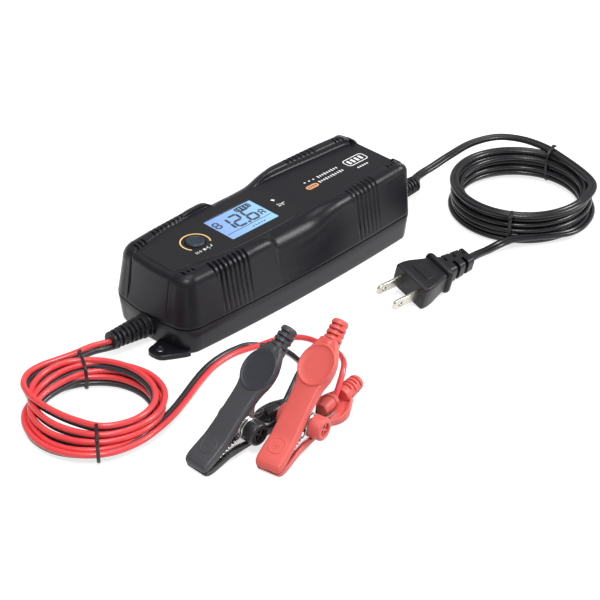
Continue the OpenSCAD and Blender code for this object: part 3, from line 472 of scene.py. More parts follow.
# charging lead: a red and a black wire that part before the clips; at the runs in leanAt, lean gives
# the degrees by which the black one lies below the red one instead of beside it
charging = {
    "wire": 3.0 * mm,
    "red": [
        (0.4, -104, 9), (-0.6, -108.1, 9.2), (-4.2, -116, 8.9), (-5.5, -127.3, 9.1), (-6, -136.9, 10.3),
        (-5.7, -147.3, 12.1), (-3.6, -156, 13.3), (2.8, -163.6, 14.1), (13, -167, 14.3), (25.3, -167, 14.3),
        (41, -164, 14.3), (54.6, -157.4, 14.3), (60.8, -143.4, 14.1), (57.5, -129.5, 13.7), (48, -121, 13.3),
        (36, -117.8, 13.1), (23, -118.8, 12.7), (10, -125.5, 12.3), (1, -136.5, 11.9), (-0.4, -149, 11.6),
        (4.5, -160, 11.3), (14, -167.8, 11.1), (29.1, -170.4, 10.9), (44, -167, 10.9), (56.2, -158.8, 10.9),
        (62.4, -145, 11.1), (61, -129.5, 11.1), (51.5, -117.5, 11.1), (37.5, -113.4, 11.1), (22, -117, 10.9),
        (9.6, -126, 10.5), (3.6, -137.5, 9.9), (3.2, -150.5, 9.1), (8.5, -163.4, 8.7), (18.5, -171.5, 8.4),
        (33, -173.8, 8.3), (48, -168.8, 8.3), (59, -158.6, 8.3), (64, -143, 8.3), (60.5, -128, 8.2),
        (49.5, -118.6, 8.2), (34, -116.4, 8.2), (19, -120.4, 7.9), (9.6, -131, 7.5), (6.6, -144, 6.9),
        (7.6, -158, 6.1), (15.2, -170.4, 5.5), (27.5, -175.6, 5.4), (42.2, -175, 5.4), (56, -165.6, 5.4),
        (62.8, -151, 5.4), (61.8, -136, 5.4), (52.6, -123.8, 5.4), (38, -118.5, 5.4), (22.5, -121.4, 5.4),
        (11, -131, 5.4), (5, -144, 5.4), (5.4, -158, 5.4), (11.6, -170.6, 5.4), (24, -178, 5.4),
        (40, -178.9, 5.4), (54, -172.4, 5.4), (63.4, -161, 5.5), (66.6, -147, 5.5), (65, -133, 5.2),
        (61, -120, 4.2), (54.6, -106, 2.6), (48, -92, 1.6), (43.4, -78, 1.6), (42.6, -64, 1.6),
        (46.4, -50, 1.6),
    ],
    "leanAt": [0, 30, 70, 825, 885, 990, 1080], "lean": [50, 60, 72, 72, 4, 0, 0],
    "toRed": [(50, -39, 2), (58, -32, 3), (70, -31, 5), (83, -34.5, 9), (93, -40, 13), (101.8, -47.6, 15.8),
              (106.2, -55.2, 11.5), (108.67, -61.41, 7.31), (109.6, -65.8, 6.9)],
    "toBlack": [(48.5, -49, 1.6), (58, -45, 1.8), (70, -47, 3), (80.5, -54, 7), (88.8, -65.4, 13.7),
                (93.5, -75.4, 11.5), (95.28, -82.44, 7.31), (95.35, -87, 6.9)],
}


def chargingWays():
    wide, step = charging["wire"] / mm, 1.5
    red = easedWay(charging["red"] + charging["toRed"], step)
    shared = easedWay(charging["red"], step)
    along = unit(np.gradient(shared, axis=0))
    left = unit(np.stack([-along[:, 1], along[:, 0], np.zeros(len(along))], 1))
    down = np.cross(left, along)
    run = np.linspace(0, wayLength(shared), len(shared))
    lean = np.radians(np.interp(run, charging["leanAt"], charging["lean"]))[:, None]
    beside = shared + wide * (np.cos(lean) * left + np.sin(lean) * down)
    black = easedWay(np.vstack([beside[:-4:4], charging["toBlack"]]), step)
    black[:, 2] = np.maximum(black[:, 2], wide / 2 + 0.05)
    return red * mm, black * mm


def makeCharging():
    redWay, blackWay = chargingWays()
    outline = circle(charging["wire"] / 2, sides=14)
    red = sweep("redCord", redWay, outline, "redWire")
    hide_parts("dc_lead", "dc_coil", "dc_tail", "red_wire")
    black = sweep("blackCord", blackWay, outline, "blackWire")
    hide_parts("black_wire")
    return (red, redWay), (black, blackWay)


# loops of plastic-covered wire twisted shut round the bundles: name, centre of the coil, angle on it,
# inner and outer radius, top, and the node
tie = {"low": 0.65, "section": (0.85, 0.55), "squareness": 0.6, "knot": 0.95, "twist": 2.6, "sides": 56}
ties = [
    ("mainsTieRear", (51.6, 148.6), 103, 31.8, 41.6, 19.4, "ac_coil_ties"),
    ("mainsTieFront", (52.6, 146.4), 301, 33.0, 41.6, 19.2, "ac_coil_ties"),
    ("chargingTieLeft", (33.8, -145.4), 152, 21.8, 36.6, 14.6, "dc_coil_ties"),
    ("chargingTieFront", (33.8, -145.4), 322, 21.9, 36.0, 16.4, "dc_coil_ties"),
]


def makeTie(name, centre, angle, inner, outer, high, node):
    c, s = cos(radians(angle)), sin(radians(angle))

    def boxed(low, high, share):
        return (low + high) / 2 + (high - low) / 2 * copysign(abs(share) ** tie["squareness"], share)

    loop = []
    for t in np.linspace(0, 2 * pi, tie["sides"], False):
        r, z = boxed(inner, outer, cos(t)), boxed(tie["low"], high, sin(t))
        loop.append((centre[0] + r * c, centre[1] + r * s, z))
    loop = np.array(loop) * mm
    side = np.array([-s, c, 0.0])
    up = np.cross(side, unit(np.roll(loop, -1, 0) - np.roll(loop, 1, 0)))
    wide, thick = tie["section"]
    outline = np.array(circle(1, sides=12)) * (wide * mm, thick * mm)
    points = loop[:, None, :] + side * outline[None, :, 0, None] + up[:, None, :] * outline[None, :, 1, None]
    band = skin(name, points.reshape(-1, 3), len(outline), "tie", loop=True)
    x, y = centre[0] + (outer - 1.5) * c, centre[1] + (outer - 1.5) * s
    twist, sizes = [], []
    for k in range(15):
        t = k / 14
        out, sway = tie["twist"] * t, 0.5 * sin(6 * t)
        twist.append((x + c * out - s * sway, y + s * out + c * sway, high - 0.4 + 0.5 * sin(3.1 * t)))
        sizes.append(0.55 + 0.45 * sin(pi * min(1, k / 11)) + 0.12 * (k % 3 == 0))
    outline = circle(tie["knot"] * mm, sides=10)
    knot = sweep(name + "Knot", np.array(twist) * mm, outline, "tie", sizes=np.array(sizes))
    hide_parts(node)
    return [band, knot]


# strain reliefs: tapering ribbed sleeves whose gaps are bridged on alternating sides
sleeve = {
    "root": 6.3, "tip": 4.6, "neck": 3.9, "firstRib": 2.9, "ribPitch": 2.4, "gap": 0.46, "gapDepth": 1.5,
    "bridge": 16,
}
# name, node, place, length, turn and tilt
sleeves = [
    ("chargingSleeve", "dc_strain_relief", (0, -86.2, 8.6), 22, 180, 3.5),
    ("mainsSleeve", "ac_strain_relief", (0, 84.8, 7), 32, 0, 0),
]


def makeSleeve(name, node, at, long, turn, tilt):
    root, neck, tip = sleeve["root"], sleeve["neck"], sleeve["tip"]
    ribs = int((long - 3) / sleeve["ribPitch"])
    pitch = (long - 3) / ribs

    def radius(h):
        return root + (tip - root) * max(0, h) / long

    rows = [(0.02, -6.2), (neck + 0.5, -6.2), (neck + 0.5, -4.7), (neck, -4.6), (neck, 0.02),
            (root - 0.35, 0.02), (root, 0.35), (root, 2.3), (root - 0.35, 2.7)]
    gaps = []
    for i in range(ribs):
        h = sleeve["firstRib"] + i * pitch
        r, gap = radius(h + pitch), pitch * sleeve["gap"]
        gaps.append((h, h + gap))
        rows += [(r - sleeve["gapDepth"], h + 0.04), (r - sleeve["gapDepth"], h + pitch * 0.4),
                 (r - 0.28, h + gap), (r, h + pitch * 0.58), (r, h + pitch * 0.88), (r - 0.28, h + pitch)]
    rows += [(tip - 0.9, long + 0.02), (1.6, long + 0.02), (1.5, long - 1.5)]

    def bridge(r, h, angle):
        for i, (low, high) in enumerate(gaps):
            if low - 0.1 <= h <= high and abs((angle + 90 * (i % 2)) % 180 - 90) > 90 - sleeve["bridge"]:
                return max(r, radius(h) - 0.45)
        return r

    piece = lathe(name, rows, "rubber", placed(at, z=turn, x=tilt - 90), sides=72, notch=bridge)
    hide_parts(node)


# mains plug: grip with a raised panel above and below, collar, slotted neck and two flat blades
plug = {
    "at": (71.7, 33.5, 9.6), "yaw": -5, "roll": 14,
    "body": [(-1.2, 11.1, 6.4, 1.2), (-0.8, 11.6, 6.8, 1.4), (0, 11.85, 7.05, 1.5), (3, 11.8, 7.2, 1.5),
             (7, 11.1, 7.1, 1.6), (11, 10.0, 6.7, 1.8), (15, 9.0, 6.3, 2.1), (19, 8.4, 6.0, 2.4),
             (20.5, 8.3, 6.0, 2.4)],
    "collar": [(17.7, 8.3, 6.2, 3.0), (18.0, 9.2, 7.2, 3.4), (18.7, 9.9, 7.9, 3.8), (19.6, 10.1, 8.15, 4.0),
               (20.5, 9.9, 7.9, 3.8), (21.1, 9.2, 7.1, 3.4), (21.6, 8.0, 6.2, 3.0)],
    "neck": [(20.8, 6.9, 5.9, 2.8), (22, 6.7, 5.7, 2.7), (40.2, 5.6, 4.6, 2.2), (40.9, 5.0, 4.0, 2.0)],
    "inlay": [(4.5, 5.4, 0.7, 0.45), (4.9, 6.0, 1.15, 0.5), (12.5, 5.2, 1.15, 0.5), (15.2, 4.2, 0.7, 0.45)],
    "inlayLift": 6.75, "inlayTilt": 4.4, "slots": (23.8, 39.4), "slotStart": 24, "slotPitch": 6.4,
    "slotGap": 2.3, "web": 0.8, "blade": (3.15, 17.5, 0.75), "bladeOut": 6.35, "bladeHole": (1.5, 4.6),
    "bladeChamfer": (1.3, 1.8),
}
inPlug = placed(plug["at"], z=plug["yaw"], y=plug["roll"])


# slots from both sides of the neck in turn, down to the web
def neckCut(y, x):
    pitch, (start, end) = plug["slotPitch"], plug["slots"]
    for side in (-1, 1):
        place = (y - plug["slotStart"] - (pitch / 2 if side > 0 else 0)) % pitch
        if start < y < end and place < plug["slotGap"] and side * x > 0.5:
            x = side * plug["web"]
    return x


def makePlug():
    neck = np.array(plug["neck"], float)
    fine = [[np.interp(y, neck[:, 0], column) for column in neck.T]
            for y in np.arange(neck[0, 0], neck[-1, 0] + 1e-6, 0.2)]
    pieces = [
        sharpen(slab("plugGrip", plug["body"], "plug", inPlug), 30),
        slab("plugCollar", plug["collar"], "plug", inPlug),
        sharpen(slab("plugNeck", fine, "plug", inPlug, neckCut), 40),
    ]
    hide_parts("plug_body")
    for side, word in ((1, "Top"), (-1, "Under")):
        lift = inPlug @ placed((0, 0, side * plug["inlayLift"]), x=-side * plug["inlayTilt"])
        pieces.append(sharpen(slab("plugInlay" + word, plug["inlay"], "plug", lift), 40))
    return pieces + [makeBlade(-1), makeBlade(1)]


def makeBlade(side):
    half, long, thick = plug["blade"]
    (inward, back), (radius, fromTip) = plug["bladeChamfer"], plug["bladeHole"]
    outline = [(-half, 0), (half, 0), (half, back - long), (half - inward, -long), (inward - half, -long),
               (-half, back - long)]
    hole = circle(radius, 0, fromTip - long, 24)
    place = inPlug @ placed((side * plug["bladeOut"], 0, 0), y=90)
    name = "plugBlade" + ("Left" if side < 0 else "Right")
    piece = plate(name, outline, -thick, thick, "blade", place, 0.25, [hole])
    if side < 0:
        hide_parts("plug_blades")
    return piece


# battery clips, drawn midway between their arms: X along the pin, Y to the handles, Z to the upper arm
clip = {
    "pitch": 19, "handleAngle": 20.5, "tip": (-27.4, 4.2), "bend": (-15.9, 5.9), "pinDrop": 2.0,
    "jawHalf": 5.2, "jawSheet": 0.8, "jawGap": 0.35, "jawNose": -28.9, "jawEnd": 18, "ear": 5.5,
    "teeth": (-28.8, 2.1, 10), "toothHeights": (0.25, 1.15),  # first, pitch and number; tip and root
    "pin": 2.0, "pinHalf": 9.5, "cap": 5.7, "capEnd": 12.0, "crossTurn": 0.6, "wall": 1.15,
    "roof": 2.0, "corner": 1.5, "pad": (9.2, 10.6), "padAt": (37, -0.05), "endAt": (48.4, 4.1),
    "markAt": -20.3,
}
# under is the finish of the lower half, the caps and the boot; for the black clip it is a darker copy of its
# black, as painted shade
clips = {
    "black": {"at": (95.7, -109.5), "yaw": 0.9, "finish": "blackClip", "under": "blackPaintedShade",
              "pad": "blackPad", "slot": "black_plastic"},
    "red": {"at": (114.2, -87.9), "yaw": 11.8, "finish": "redClip", "under": "redClip", "pad": "redClip",
            "slot": "red_plastic"},
}
slope = radians(clip["handleAngle"])
bendY, bendZ = clip["bend"]
roofDrop = clip["roof"] / cos(slope)


def outerLine(s):
    return bendZ + (s - bendY) * tan(slope)


# point of the middle plane, by its length along the handle and its depth under the outer line
def handlePoint(length, depth):
    return (0, bendY + length * cos(slope) + depth * sin(slope),
            bendZ + length * sin(slope) - depth * cos(slope))


# along the arm: half width, height of the open rim, and the outer height where it leaves the handle's slope
armRows = np.array([(s, w, top[0] if top else outerLine(s), rim) for s, w, rim, *top in (
    (-31.5, 5.0, 0.6, 1.2), (-31.2, 5.8, 0.42, 2.1), (-30.6, 6.4, 0.34, 2.9), (-29.6, 6.8, 0.32, 3.6),
    (-27.4, 7.1, 0.4, 4.2), (-24, 7.1, 1.0, 4.65), (-21, 7.0, 1.5, 5.1), (-15.9, 6.8, 2.4, 5.9),
    (-13, 6.65, 3.2), (-10, 6.5, 3.9), (-4.2, 6.4, 6.9), (0, 6.4, 8.4), (5, 6.4, 9.2), (9, 6.6, 10.4),
    (12, 7.4, 12.0), (15, 8.7, 13.4), (19, 9.1, 14.9), (23, 8.6, 16.2), (27, 7.0, 17.5), (30, 5.4, 18.5),
    (31.4, 4.9, 19.2), (32, 4.3, 19.6, outerLine(32) - 0.4))])


def armSection(w, top, rim):
    r = min(clip["corner"], (top - rim) * 0.5, w * 0.4)
    roof = min(roofDrop, (top - rim) * 0.8)
    wall = min(clip["wall"], w * 0.5)
    inner = [(w - wall, top - roof - 0.5), (w - wall - 0.6, top - roof)]
    half = [(w - wall, rim + 0.2), (w - wall + 0.25, rim), (w - 0.25, rim), (w, rim + 0.2)]
    half += [(w - r + r * cos(a), top - r + r * sin(a)) for a in np.linspace(0, pi / 2, 7)]
    return [(-x, z) for x, z in inner + half] + half[::-1] + inner


def makeArm(name, place, finish, body):
    stations = np.unique(np.concatenate([np.arange(-31.5, 32, 0.5), armRows[:, 0]]))
    stations = stations[np.concatenate([[True], np.diff(stations) > 0.06])]
    fine = np.arange(-34, 34, 0.1)
    ends = np.clip((np.abs(stations) - 28.2) / 1.2, 0, 1)  # the rows are eased, apart from those at the ends
    columns = []
    for column in armRows.T[1:]:
        dense = np.pad(np.interp(fine, armRows[:, 0], column), 12, "edge")
        eased = np.interp(stations, fine, np.convolve(dense, np.ones(25) / 25, "valid"))
        columns.append(eased * (1 - ends) + np.interp(stations, armRows[:, 0], column) * ends)
    points = [(x, s, z) for s, *size in zip(stations, *columns) for x, z in armSection(*size)]
    return sharpen(skin(name, inPlace(place, points), len(points) // len(stations), finish, body), 40)


# finger pad: an oval with a raised lip
def makePad(name, place, finish, body):
    wide, long = clip["pad"]
    rows = [(1.0, -2.6), (1.0, 0.1), (0.985, 0.42), (0.955, 0.62), (0.915, 0.66), (0.885, 0.52),
            (0.868, 0.22), (0.84, 0.1), (0.6, 0.0), (0.3, -0.04)]
    points = [(wide * share * x, long * share * y, h) for share, h in rows for x, y in circle(1, sides=72)]
    tips = inPlace(place, [(0, 0, rows[0][1]), (0, 0, rows[-1][1] - 0.01)])
    return sharpen(skin(name, inPlace(place, points), 72, finish, body, tips), 50)


# ribbed end of a handle, its grooves bridged on two sides
ribbedEnd = {
    "root": 4.6, "taper": 0.055, "first": 1.2, "pitch": 2.6, "count": 4, "core": 2.6, "bridge": 26,
    "turn": 16,
}


def ribRadius(h):
    return ribbedEnd["root"] - ribbedEnd["taper"] * h


def slotBridge(r, h, angle):
    row = int((h - ribbedEnd["first"]) / ribbedEnd["pitch"])
    turn = (angle + (ribbedEnd["turn"] if row % 2 else -ribbedEnd["turn"])) % 180
    grooved = 1.3 < h < 11.5 and min(turn, 180 - turn) < ribbedEnd["bridge"]
    return max(r, ribRadius(h) - 0.12) if grooved else r


def makeRibbedEnd(name, place, finish, body):
    core, first = ribbedEnd["core"], ribbedEnd["first"]
    rows = [(0.05, -2.5), (4.2, -2.5), (4.5, -1.6), (4.6, 0.0), (4.55, 1.0), (ribRadius(first), first + 0.05)]
    for k in range(ribbedEnd["count"]):
        h = first + 0.15 + ribbedEnd["pitch"] * k
        full = ribRadius(h)
        rows += [(core, h), (core, h + 1.05), (full - 0.2, h + 1.1), (full, h + 1.25), (full, h + 2.4),
                 (full - 0.2, h + 2.58)]
    rows += [(3.9, 11.95), (3.5, 12.6), (2.6, 12.95), (1.2, 13.0)]
    return lathe(name, rows, finish, place, body, 72, slotBridge)


# side of a jaw: nose, teeth, pivot ear and the slope up to its end
def jawOutline(ear):
    end, (first, pitch, count), (tip, root) = clip["jawEnd"], clip["teeth"], clip["toothHeights"]
    outline = [(end, outerLine(end) - 2.35), (bendY, bendZ - 2.3), (clip["jawNose"], 1.9)]
    for i in range(count):
        outline += [(first + i * pitch, tip), (first + (i + 0.5) * pitch, root)]
    reach = 200 if ear > 0 else 152
    arc = np.radians(np.linspace(reach, 540 - reach, 22))
    outline += [(-7.4, 1.2)] + [(clip["ear"] * cos(a), ear + clip["ear"] * sin(a)) for a in arc]
    return outline + [(7.2, 5.6), (12, 10.4), (end, 13)]


def makeJaw(name, place, half, ear, body):
    sheet, nose, end = clip["jawSheet"], clip["jawNose"], clip["jawEnd"]
    hole = circle(clip["pin"] * 1.03, 0, ear, 28)
    upright = place @ Matrix(((0, 0, 1, 0), (1, 0, 0, 0), (0, 1, 0, 0), (0, 0, 0, 1)))
    pieces = [plate(name + word, jawOutline(ear), near, near + sheet, "jaw", upright, 0.12, [hole], body)
              for word, near in (("Left", -half), ("Right", half - sheet))]
    web = [(nose, 2.0), (bendY, bendZ - roofDrop), (end, outerLine(end) - roofDrop),
           (end, outerLine(end) - roofDrop - sheet), (bendY, bendZ - roofDrop - sheet), (nose, 1.2)]
    inner = half - sheet / 2
    pieces.append(plate(name + "Web", web, -inner, inner, "jaw", upright, 0.15, body=body))
    return joined(pieces, name)


# torsion spring in two pieces: the coil with its lower leg, and the leg that goes with the upper arm
spring = {
    "radius": 3.0, "wire": 0.5, "half": 1.9, "points": 35, "first": -30, "turn": 30,
    "leg": (9.5, 6.2, 3.6, 4.9),  # Y of its end, middle and foot, and the height of the foot
}


def makeSpring(name, place, handle):
    roof = roofDrop + clip["jawSheet"] + 0.55
    drop, half, radius = clip["pinDrop"], spring["half"], spring["radius"]
    end, middle, foot, high = spring["leg"]

    def onCoil(i):
        a = radians(spring["first"] - spring["turn"] * i)
        return (2 * half * i / (spring["points"] - 1) - half, radius * cos(a), radius * sin(a) - drop)

    way = [(-half, end, outerLine(end) - roof), (-half, middle, outerLine(middle) - roof - 0.2),
           (-half, foot, high)]
    way += [onCoil(i) for i in range(spring["points"])]
    way += [(half, foot, -high - drop * 0.4), (half, middle, roof + 0.2 - outerLine(middle)),
            (half, end, roof - outerLine(end))]
    eased = [Vector(p) for p in easedWay(way, 0.45)]
    start = next(i for i, p in enumerate(eased) if (p - Vector(onCoil(0))).length < 0.4)
    path = np.array([place @ (p * mm) for p in eased])
    spin = np.array(place.to_3x3() @ Vector((1, 0, 0)))
    outline = circle(spring["wire"] * mm, sides=10)
    pieces = []
    for word, part, body in (("Spring", path[start:], "body"), ("SpringLeg", path[:start + 1], handle)):
        across = np.tile(spin, (len(part), 1))
        pieces.append(sweep(name + word, part, outline, "spring", body, across))
    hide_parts(name + "_spring")
    return pieces


# raised ring with the pole's sign near each nose
def makePolarity(name, place, finish, body, plus):
    noseY, noseZ = clip["tip"]
    fall = (bendZ - noseZ) / (bendY - noseY)
    up = noseZ + (clip["markAt"] - noseY) * fall
    at = place @ placed((0, clip["markAt"], up - 0.06), x=degrees(atan(fall)))
    ringRows = [(3.6, -0.1), (3.65, 0.16), (3.8, 0.26), (4.1, 0.26), (4.25, 0.16), (4.3, -0.1)]
    long, half = 1.5, 0.28
    bar = [(-long, -half), (long, -half), (long, half), (-long, half)]
    sign = crossOutline(long, half) if plus else bar
    return joined([lathe(name + "Mark", ringRows, finish, at, body, 48),
                   plate(name + "Sign", sign, -0.1, 0.2, finish, at, 0.06, body=body)])


def crossOutline(long, half):
    return [(-long, -half), (-half, -half), (-half, -long), (half, -long), (half, -half), (long, -half),
            (long, half), (half, half), (half, long), (-half, long), (-half, half), (-long, half)]


def makeHalf(colour, word, place, half, ear, body):
    one = clips[colour]
    name, node = colour + word, colour + "_" + word.lower()
    upper = word == "Upper"
    finish = one["finish" if upper else "under"]
    arm = makeArm(name + "Arm", place, finish, body)
    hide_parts(node + "_cover")
    padPlace = place @ placed(handlePoint(*clip["padAt"]), x=clip["handleAngle"])
    endPlace = place @ placed(handlePoint(*clip["endAt"]), x=clip["handleAngle"] - 90)
    plastic = [arm, makePad(name + "Pad", padPlace, one["pad" if upper else "under"], body),
               makeRibbedEnd(name + "End", endPlace, finish, body),
               makePolarity(name, place, finish, body, colour == "red")]
    jaw = makeJaw(name + "Jaw", place, half, ear, body)
    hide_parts(node + "_jaw")
    return plastic + [jaw]


def makePin(colour, place):
    r, half = clip["pin"], clip["pinHalf"]
    rows = [(0.05, -half), (r - 0.2, -half), (r, 0.2 - half), (r, half - 0.2), (r - 0.2, half), (0.05, half)]
    pin = lathe(colour + "Pin", rows, "jaw", place)
    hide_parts(colour + "_pivot_pin")
    return pin


# round caps on the pin, each with a cross in its hollow
def makeCaps(colour, place):
    one, r, end = clips[colour], clip["cap"], clip["capEnd"]
    rows = [(clip["pin"] + 0.05, 5.4), (r - 0.4, 5.4), (r, 5.75), (r, end - 1.1), (r - 0.25, end - 0.5),
            (r - 0.8, end - 0.08), (r - 1.3, end), (r - 2.2, end), (r - 2.4, end - 0.15),
            (r - 2.55, end - 1.7), (r - 2.8, end - 1.95), (1.0, end - 2)]
    caps = []
    for word, turn in (("Right", 0), ("Left", 180)):
        at = place @ placed((0, 0, 0), x=turn)
        cap = lathe(colour + "Cap" + word, rows, one["under"], at, sides=56)
        cross = plate(colour + "CapCross" + word, crossOutline(2.9, 0.5), end - 2.1, end - 0.5, one["under"],
                      at @ Matrix.Rotation(clip["crossTurn"], 4, "Z"), 0.12)
        caps.append(joined([cap, cross]))
    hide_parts(colour + "_pivot_caps")
    return caps


# sleeve through which the wire enters the lower handle
boot = {"radius": 3.4, "length": 11.4, "depth": 6.22, "reach": 40.0}


def makeBoot(colour, place):
    one, r, long = clips[colour], boot["radius"], boot["length"]
    rows = [(1.6, 0.6), (1.75, 0.05), (r - 0.5, 0.05), (r - 0.1, 0.35), (r, 0.8), (r, 2.6), (r - 0.45, 2.9),
            (r - 0.45, 3.5), (r, 3.8), (r, long - 1.2), (r - 0.4, long - 0.3), (r - 1.0, long), (0.05, long)]
    at = place @ placed(handlePoint(boot["reach"], boot["depth"]), x=clip["handleAngle"] + 90)
    piece = lathe(colour + "Boot", rows, one["under"], at, sides=40)
    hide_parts(colour + "_wire_boot")
    return piece


def makeClip(colour):
    one, (noseY, noseZ), pitch = clips[colour], clip["tip"], radians(clip["pitch"])
    height = noseZ * cos(pitch) - noseY * sin(pitch)
    upperPlace = placed((*one["at"], height), z=one["yaw"], x=clip["pitch"])
    lowerPlace = upperPlace @ Matrix.Diagonal((1, 1, -1, 1))
    handle, drop = colour + "_handle", clip["pinDrop"]
    nested = clip["jawHalf"] - clip["jawSheet"] - clip["jawGap"]  # the upper jaw sits inside the lower one
    parts = makeHalf(colour, "Upper", upperPlace, nested, -drop, handle)
    parts += makeHalf(colour, "Lower", lowerPlace, clip["jawHalf"], drop, "body")
    pinPlace = upperPlace @ placed((0, 0, -drop), y=90)
    parts += [makePin(colour, pinPlace), *makeCaps(colour, pinPlace)]
    return parts + makeSpring(colour, upperPlace, handle) + [makeBoot(colour, lowerPlace)]


# case: plan at the seam, walls that lean in, rails along the top, grips and bands
case = {
    "length": 168.0, "width": 58.8, "bow": 2.3, "frontBow": 1.6, "frontCorner": 11.6, "rearCorner": 9.0,
    "seam": 15.4, "seal": 0.6, "sealIn": (0.9, 2.0), "wall": 2.2, "top": 41.5, "roof": 2.8,
    "lean": (3.4, 3.2, 1.0),  # at the front, the sides and the rear
    "reach": (2.6, 4.6, 3.0, 1.2),  # front, front corner, horns at the rear, and between the horns
    "frontShoulder": (3.2, 7.0), "rearShoulder": (1.4, 3.8),  # in the band and beside it
    "band": (14.5, 0.9), "rearBand": (12.9, 14.6), "frontCrest": 42.1, "hornLift": 0.5, "foot": 1.7,
    "railEnds": (6.5, 2.8), "railSweep": (0.37, 0.62),  # front and rear
    "grips": (
        {"middle": -49.9, "pitch": 2.98, "count": 8, "depth": 1.7},
        {"middle": 45.6, "pitch": 3.1, "count": 7, "depth": 1.15},
    ),
    "slots": ((-74.2, 1.3), (-71.4, 1.3), (-68.6, 1.3), (70.6, 0.8), (73.2, 0.8), (75.8, 0.8)),
    "slot": (5.2, 1.1), "screws": (20.5, 72.5), "screwHole": 2.9,
}
lowerSeam, upperSeam = case["seam"] - case["seal"] / 2, case["seam"] + case["seal"] / 2
caseTop, ceiling = case["top"], case["top"] - case["roof"]
halfWidth, halfLength = case["width"] / 2, case["length"] / 2
# along the case: height of the rails, half width of the flat between them, height of their rounded shoulder
crestRows = [
    (-84, 42.1), (-80, 42.5), (-70, 42.7), (-60, 42.9), (-37, 43.2), (-33, 43.6), (-25, 43.6), (-22, 43.1),
    (-20, 41.9), (-18, 41.5), (6, 41.5), (11, 42.2), (18, 43.8), (26, 44.7), (45, 44.9), (64, 45.0),
    (74, 45.0), (79, 44.8), (82, 44.2), (84, 43.2),
]
flatRows = [
    (-84, 14.4), (-74, 14.8), (-65, 16.3), (-55, 18.4), (-44, 19.9), (-36, 21.4), (-26, 21.8), (-10, 21.6),
    (12, 21.2), (17, 20.2), (25, 19.4), (38, 18.8), (57, 17.5), (70, 16.9), (77, 16.3), (81, 14.8),
    (84, 13.4),
]
shoulderRows = [
    (-84, 6.6), (-70, 6.6), (-60, 6.2), (-38, 6.2), (-21.5, 5.8), (-18.5, 11), (-4, 11.4), (10, 10.2),
    (20, 7.6), (28, 5.8), (60, 5.0), (76, 5.2), (84, 5),
]


# the rows as a function of the place along the case, eased over a reach
def alongCase(rows, reach):
    at, core = np.arange(-100, 100, 0.25), np.hanning(int(reach / 0.25) * 2 + 3)
    wide = np.pad(np.interp(at, *zip(*rows)), len(core) // 2, "edge")
    line = np.convolve(wide, core / core.sum(), "valid")
    return lambda y: float(np.interp(y, at, line))


crestAt, flatAt, shoulderAt = alongCase(crestRows, 2.2), alongCase(flatRows, 4), alongCase(shoulderRows, 2)
grooveHalf = 0.25  # as a share of the pitch
groovesDown = (0, 0.75, 0.75, 0.6)  # share of the depth on the wall: first, second, third and later grooves


# the groove of the grips at y: its depth there and the share of it that runs down the wall
def gripCut(y):
    for grip in case["grips"]:
        step = (y - grip["middle"]) / grip["pitch"] + (grip["count"] - 1) / 2
        near = round(step)
        if 0 <= near < grip["count"] and abs(step - near) < grooveHalf:
            depth = grip["depth"] * cos(pi / 2 * (step - near) / grooveHalf) ** 0.8
            return depth, groovesDown[min(near, 3)]
    return 0.0, 0.0


# stations round the right half of the plan: place, outward way, edge and, at a corner, share of the turn
def halfPlan(detailed):
    xf, yf = halfWidth - case["frontCorner"], halfLength - case["frontCorner"]
    xr, yr = halfWidth - case["rearCorner"], halfLength - case["rearCorner"]
    stations = []

    def corner(cx, cy, radius, start, count, edge):
        for a in np.linspace(start, start + 90, count):
            c, s = cos(radians(a)), sin(radians(a))
            stations.append((cx + radius * c, cy + radius * s, c, s, edge, (a - start) / 90))

    bandEdge = [11.5, 13.2, 14, 14.25, 14.4, 14.55, 14.7, 14.85, 15, 15.3, 16.2, 17]
    for x in [0, 3, 6, 9, *bandEdge] if detailed else [0, 4, 8, 12, 16]:
        stations.append((x, -halfLength - case["frontBow"] * (1 - (x / xf) ** 2), 0, -1, "front", x))
    corner(xf, -yf, case["frontCorner"], -90, 19 if detailed else 13, "frontCorner")
    spans = [(-71.5, 75, 2.5)]
    if detailed:
        for grip in case["grips"]:
            reach = grip["pitch"] * grip["count"] / 2 + 0.5
            spans.append((grip["middle"] - reach, grip["middle"] + reach, 0.28))
        spans += [(-28, -17, 0.6), (72, 75, 0.5)]
    last = -99
    for y in sorted({y for span in spans for y in np.round(np.arange(*span), 2)}):
        if y - last > 0.14 and -yf + 0.2 < y < yr - 0.2:
            last = y
            bow = case["bow"] * (1 - (y / (yf if y < 0 else yr)) ** 2)
            stations.append((halfWidth + bow, y, 1, 0, "side", y))
    corner(xr, yr, case["rearCorner"], 0, 15 if detailed else 11, "rearCorner")
    for x in (19, 17.5, 16, 15, 14.2, 13.6, 13, 12, 9, 5, 0) if detailed else (16, 10, 5, 0):
        stations.append((x, halfLength, 0, 1, "rear", x))
    return stations


def wholePlan(detailed):
    right = halfPlan(detailed)
    return right + [(-x, y, -nx, ny, edge, share) for x, y, nx, ny, edge, share in right[-2:0:-1]]


def smooth(low, high, value):
    t = min(1.0, max(0.0, (value - low) / (high - low)))
    return t * t * (3 - 2 * t)


def blend(first, last, share):
    return first + (last - first) * share


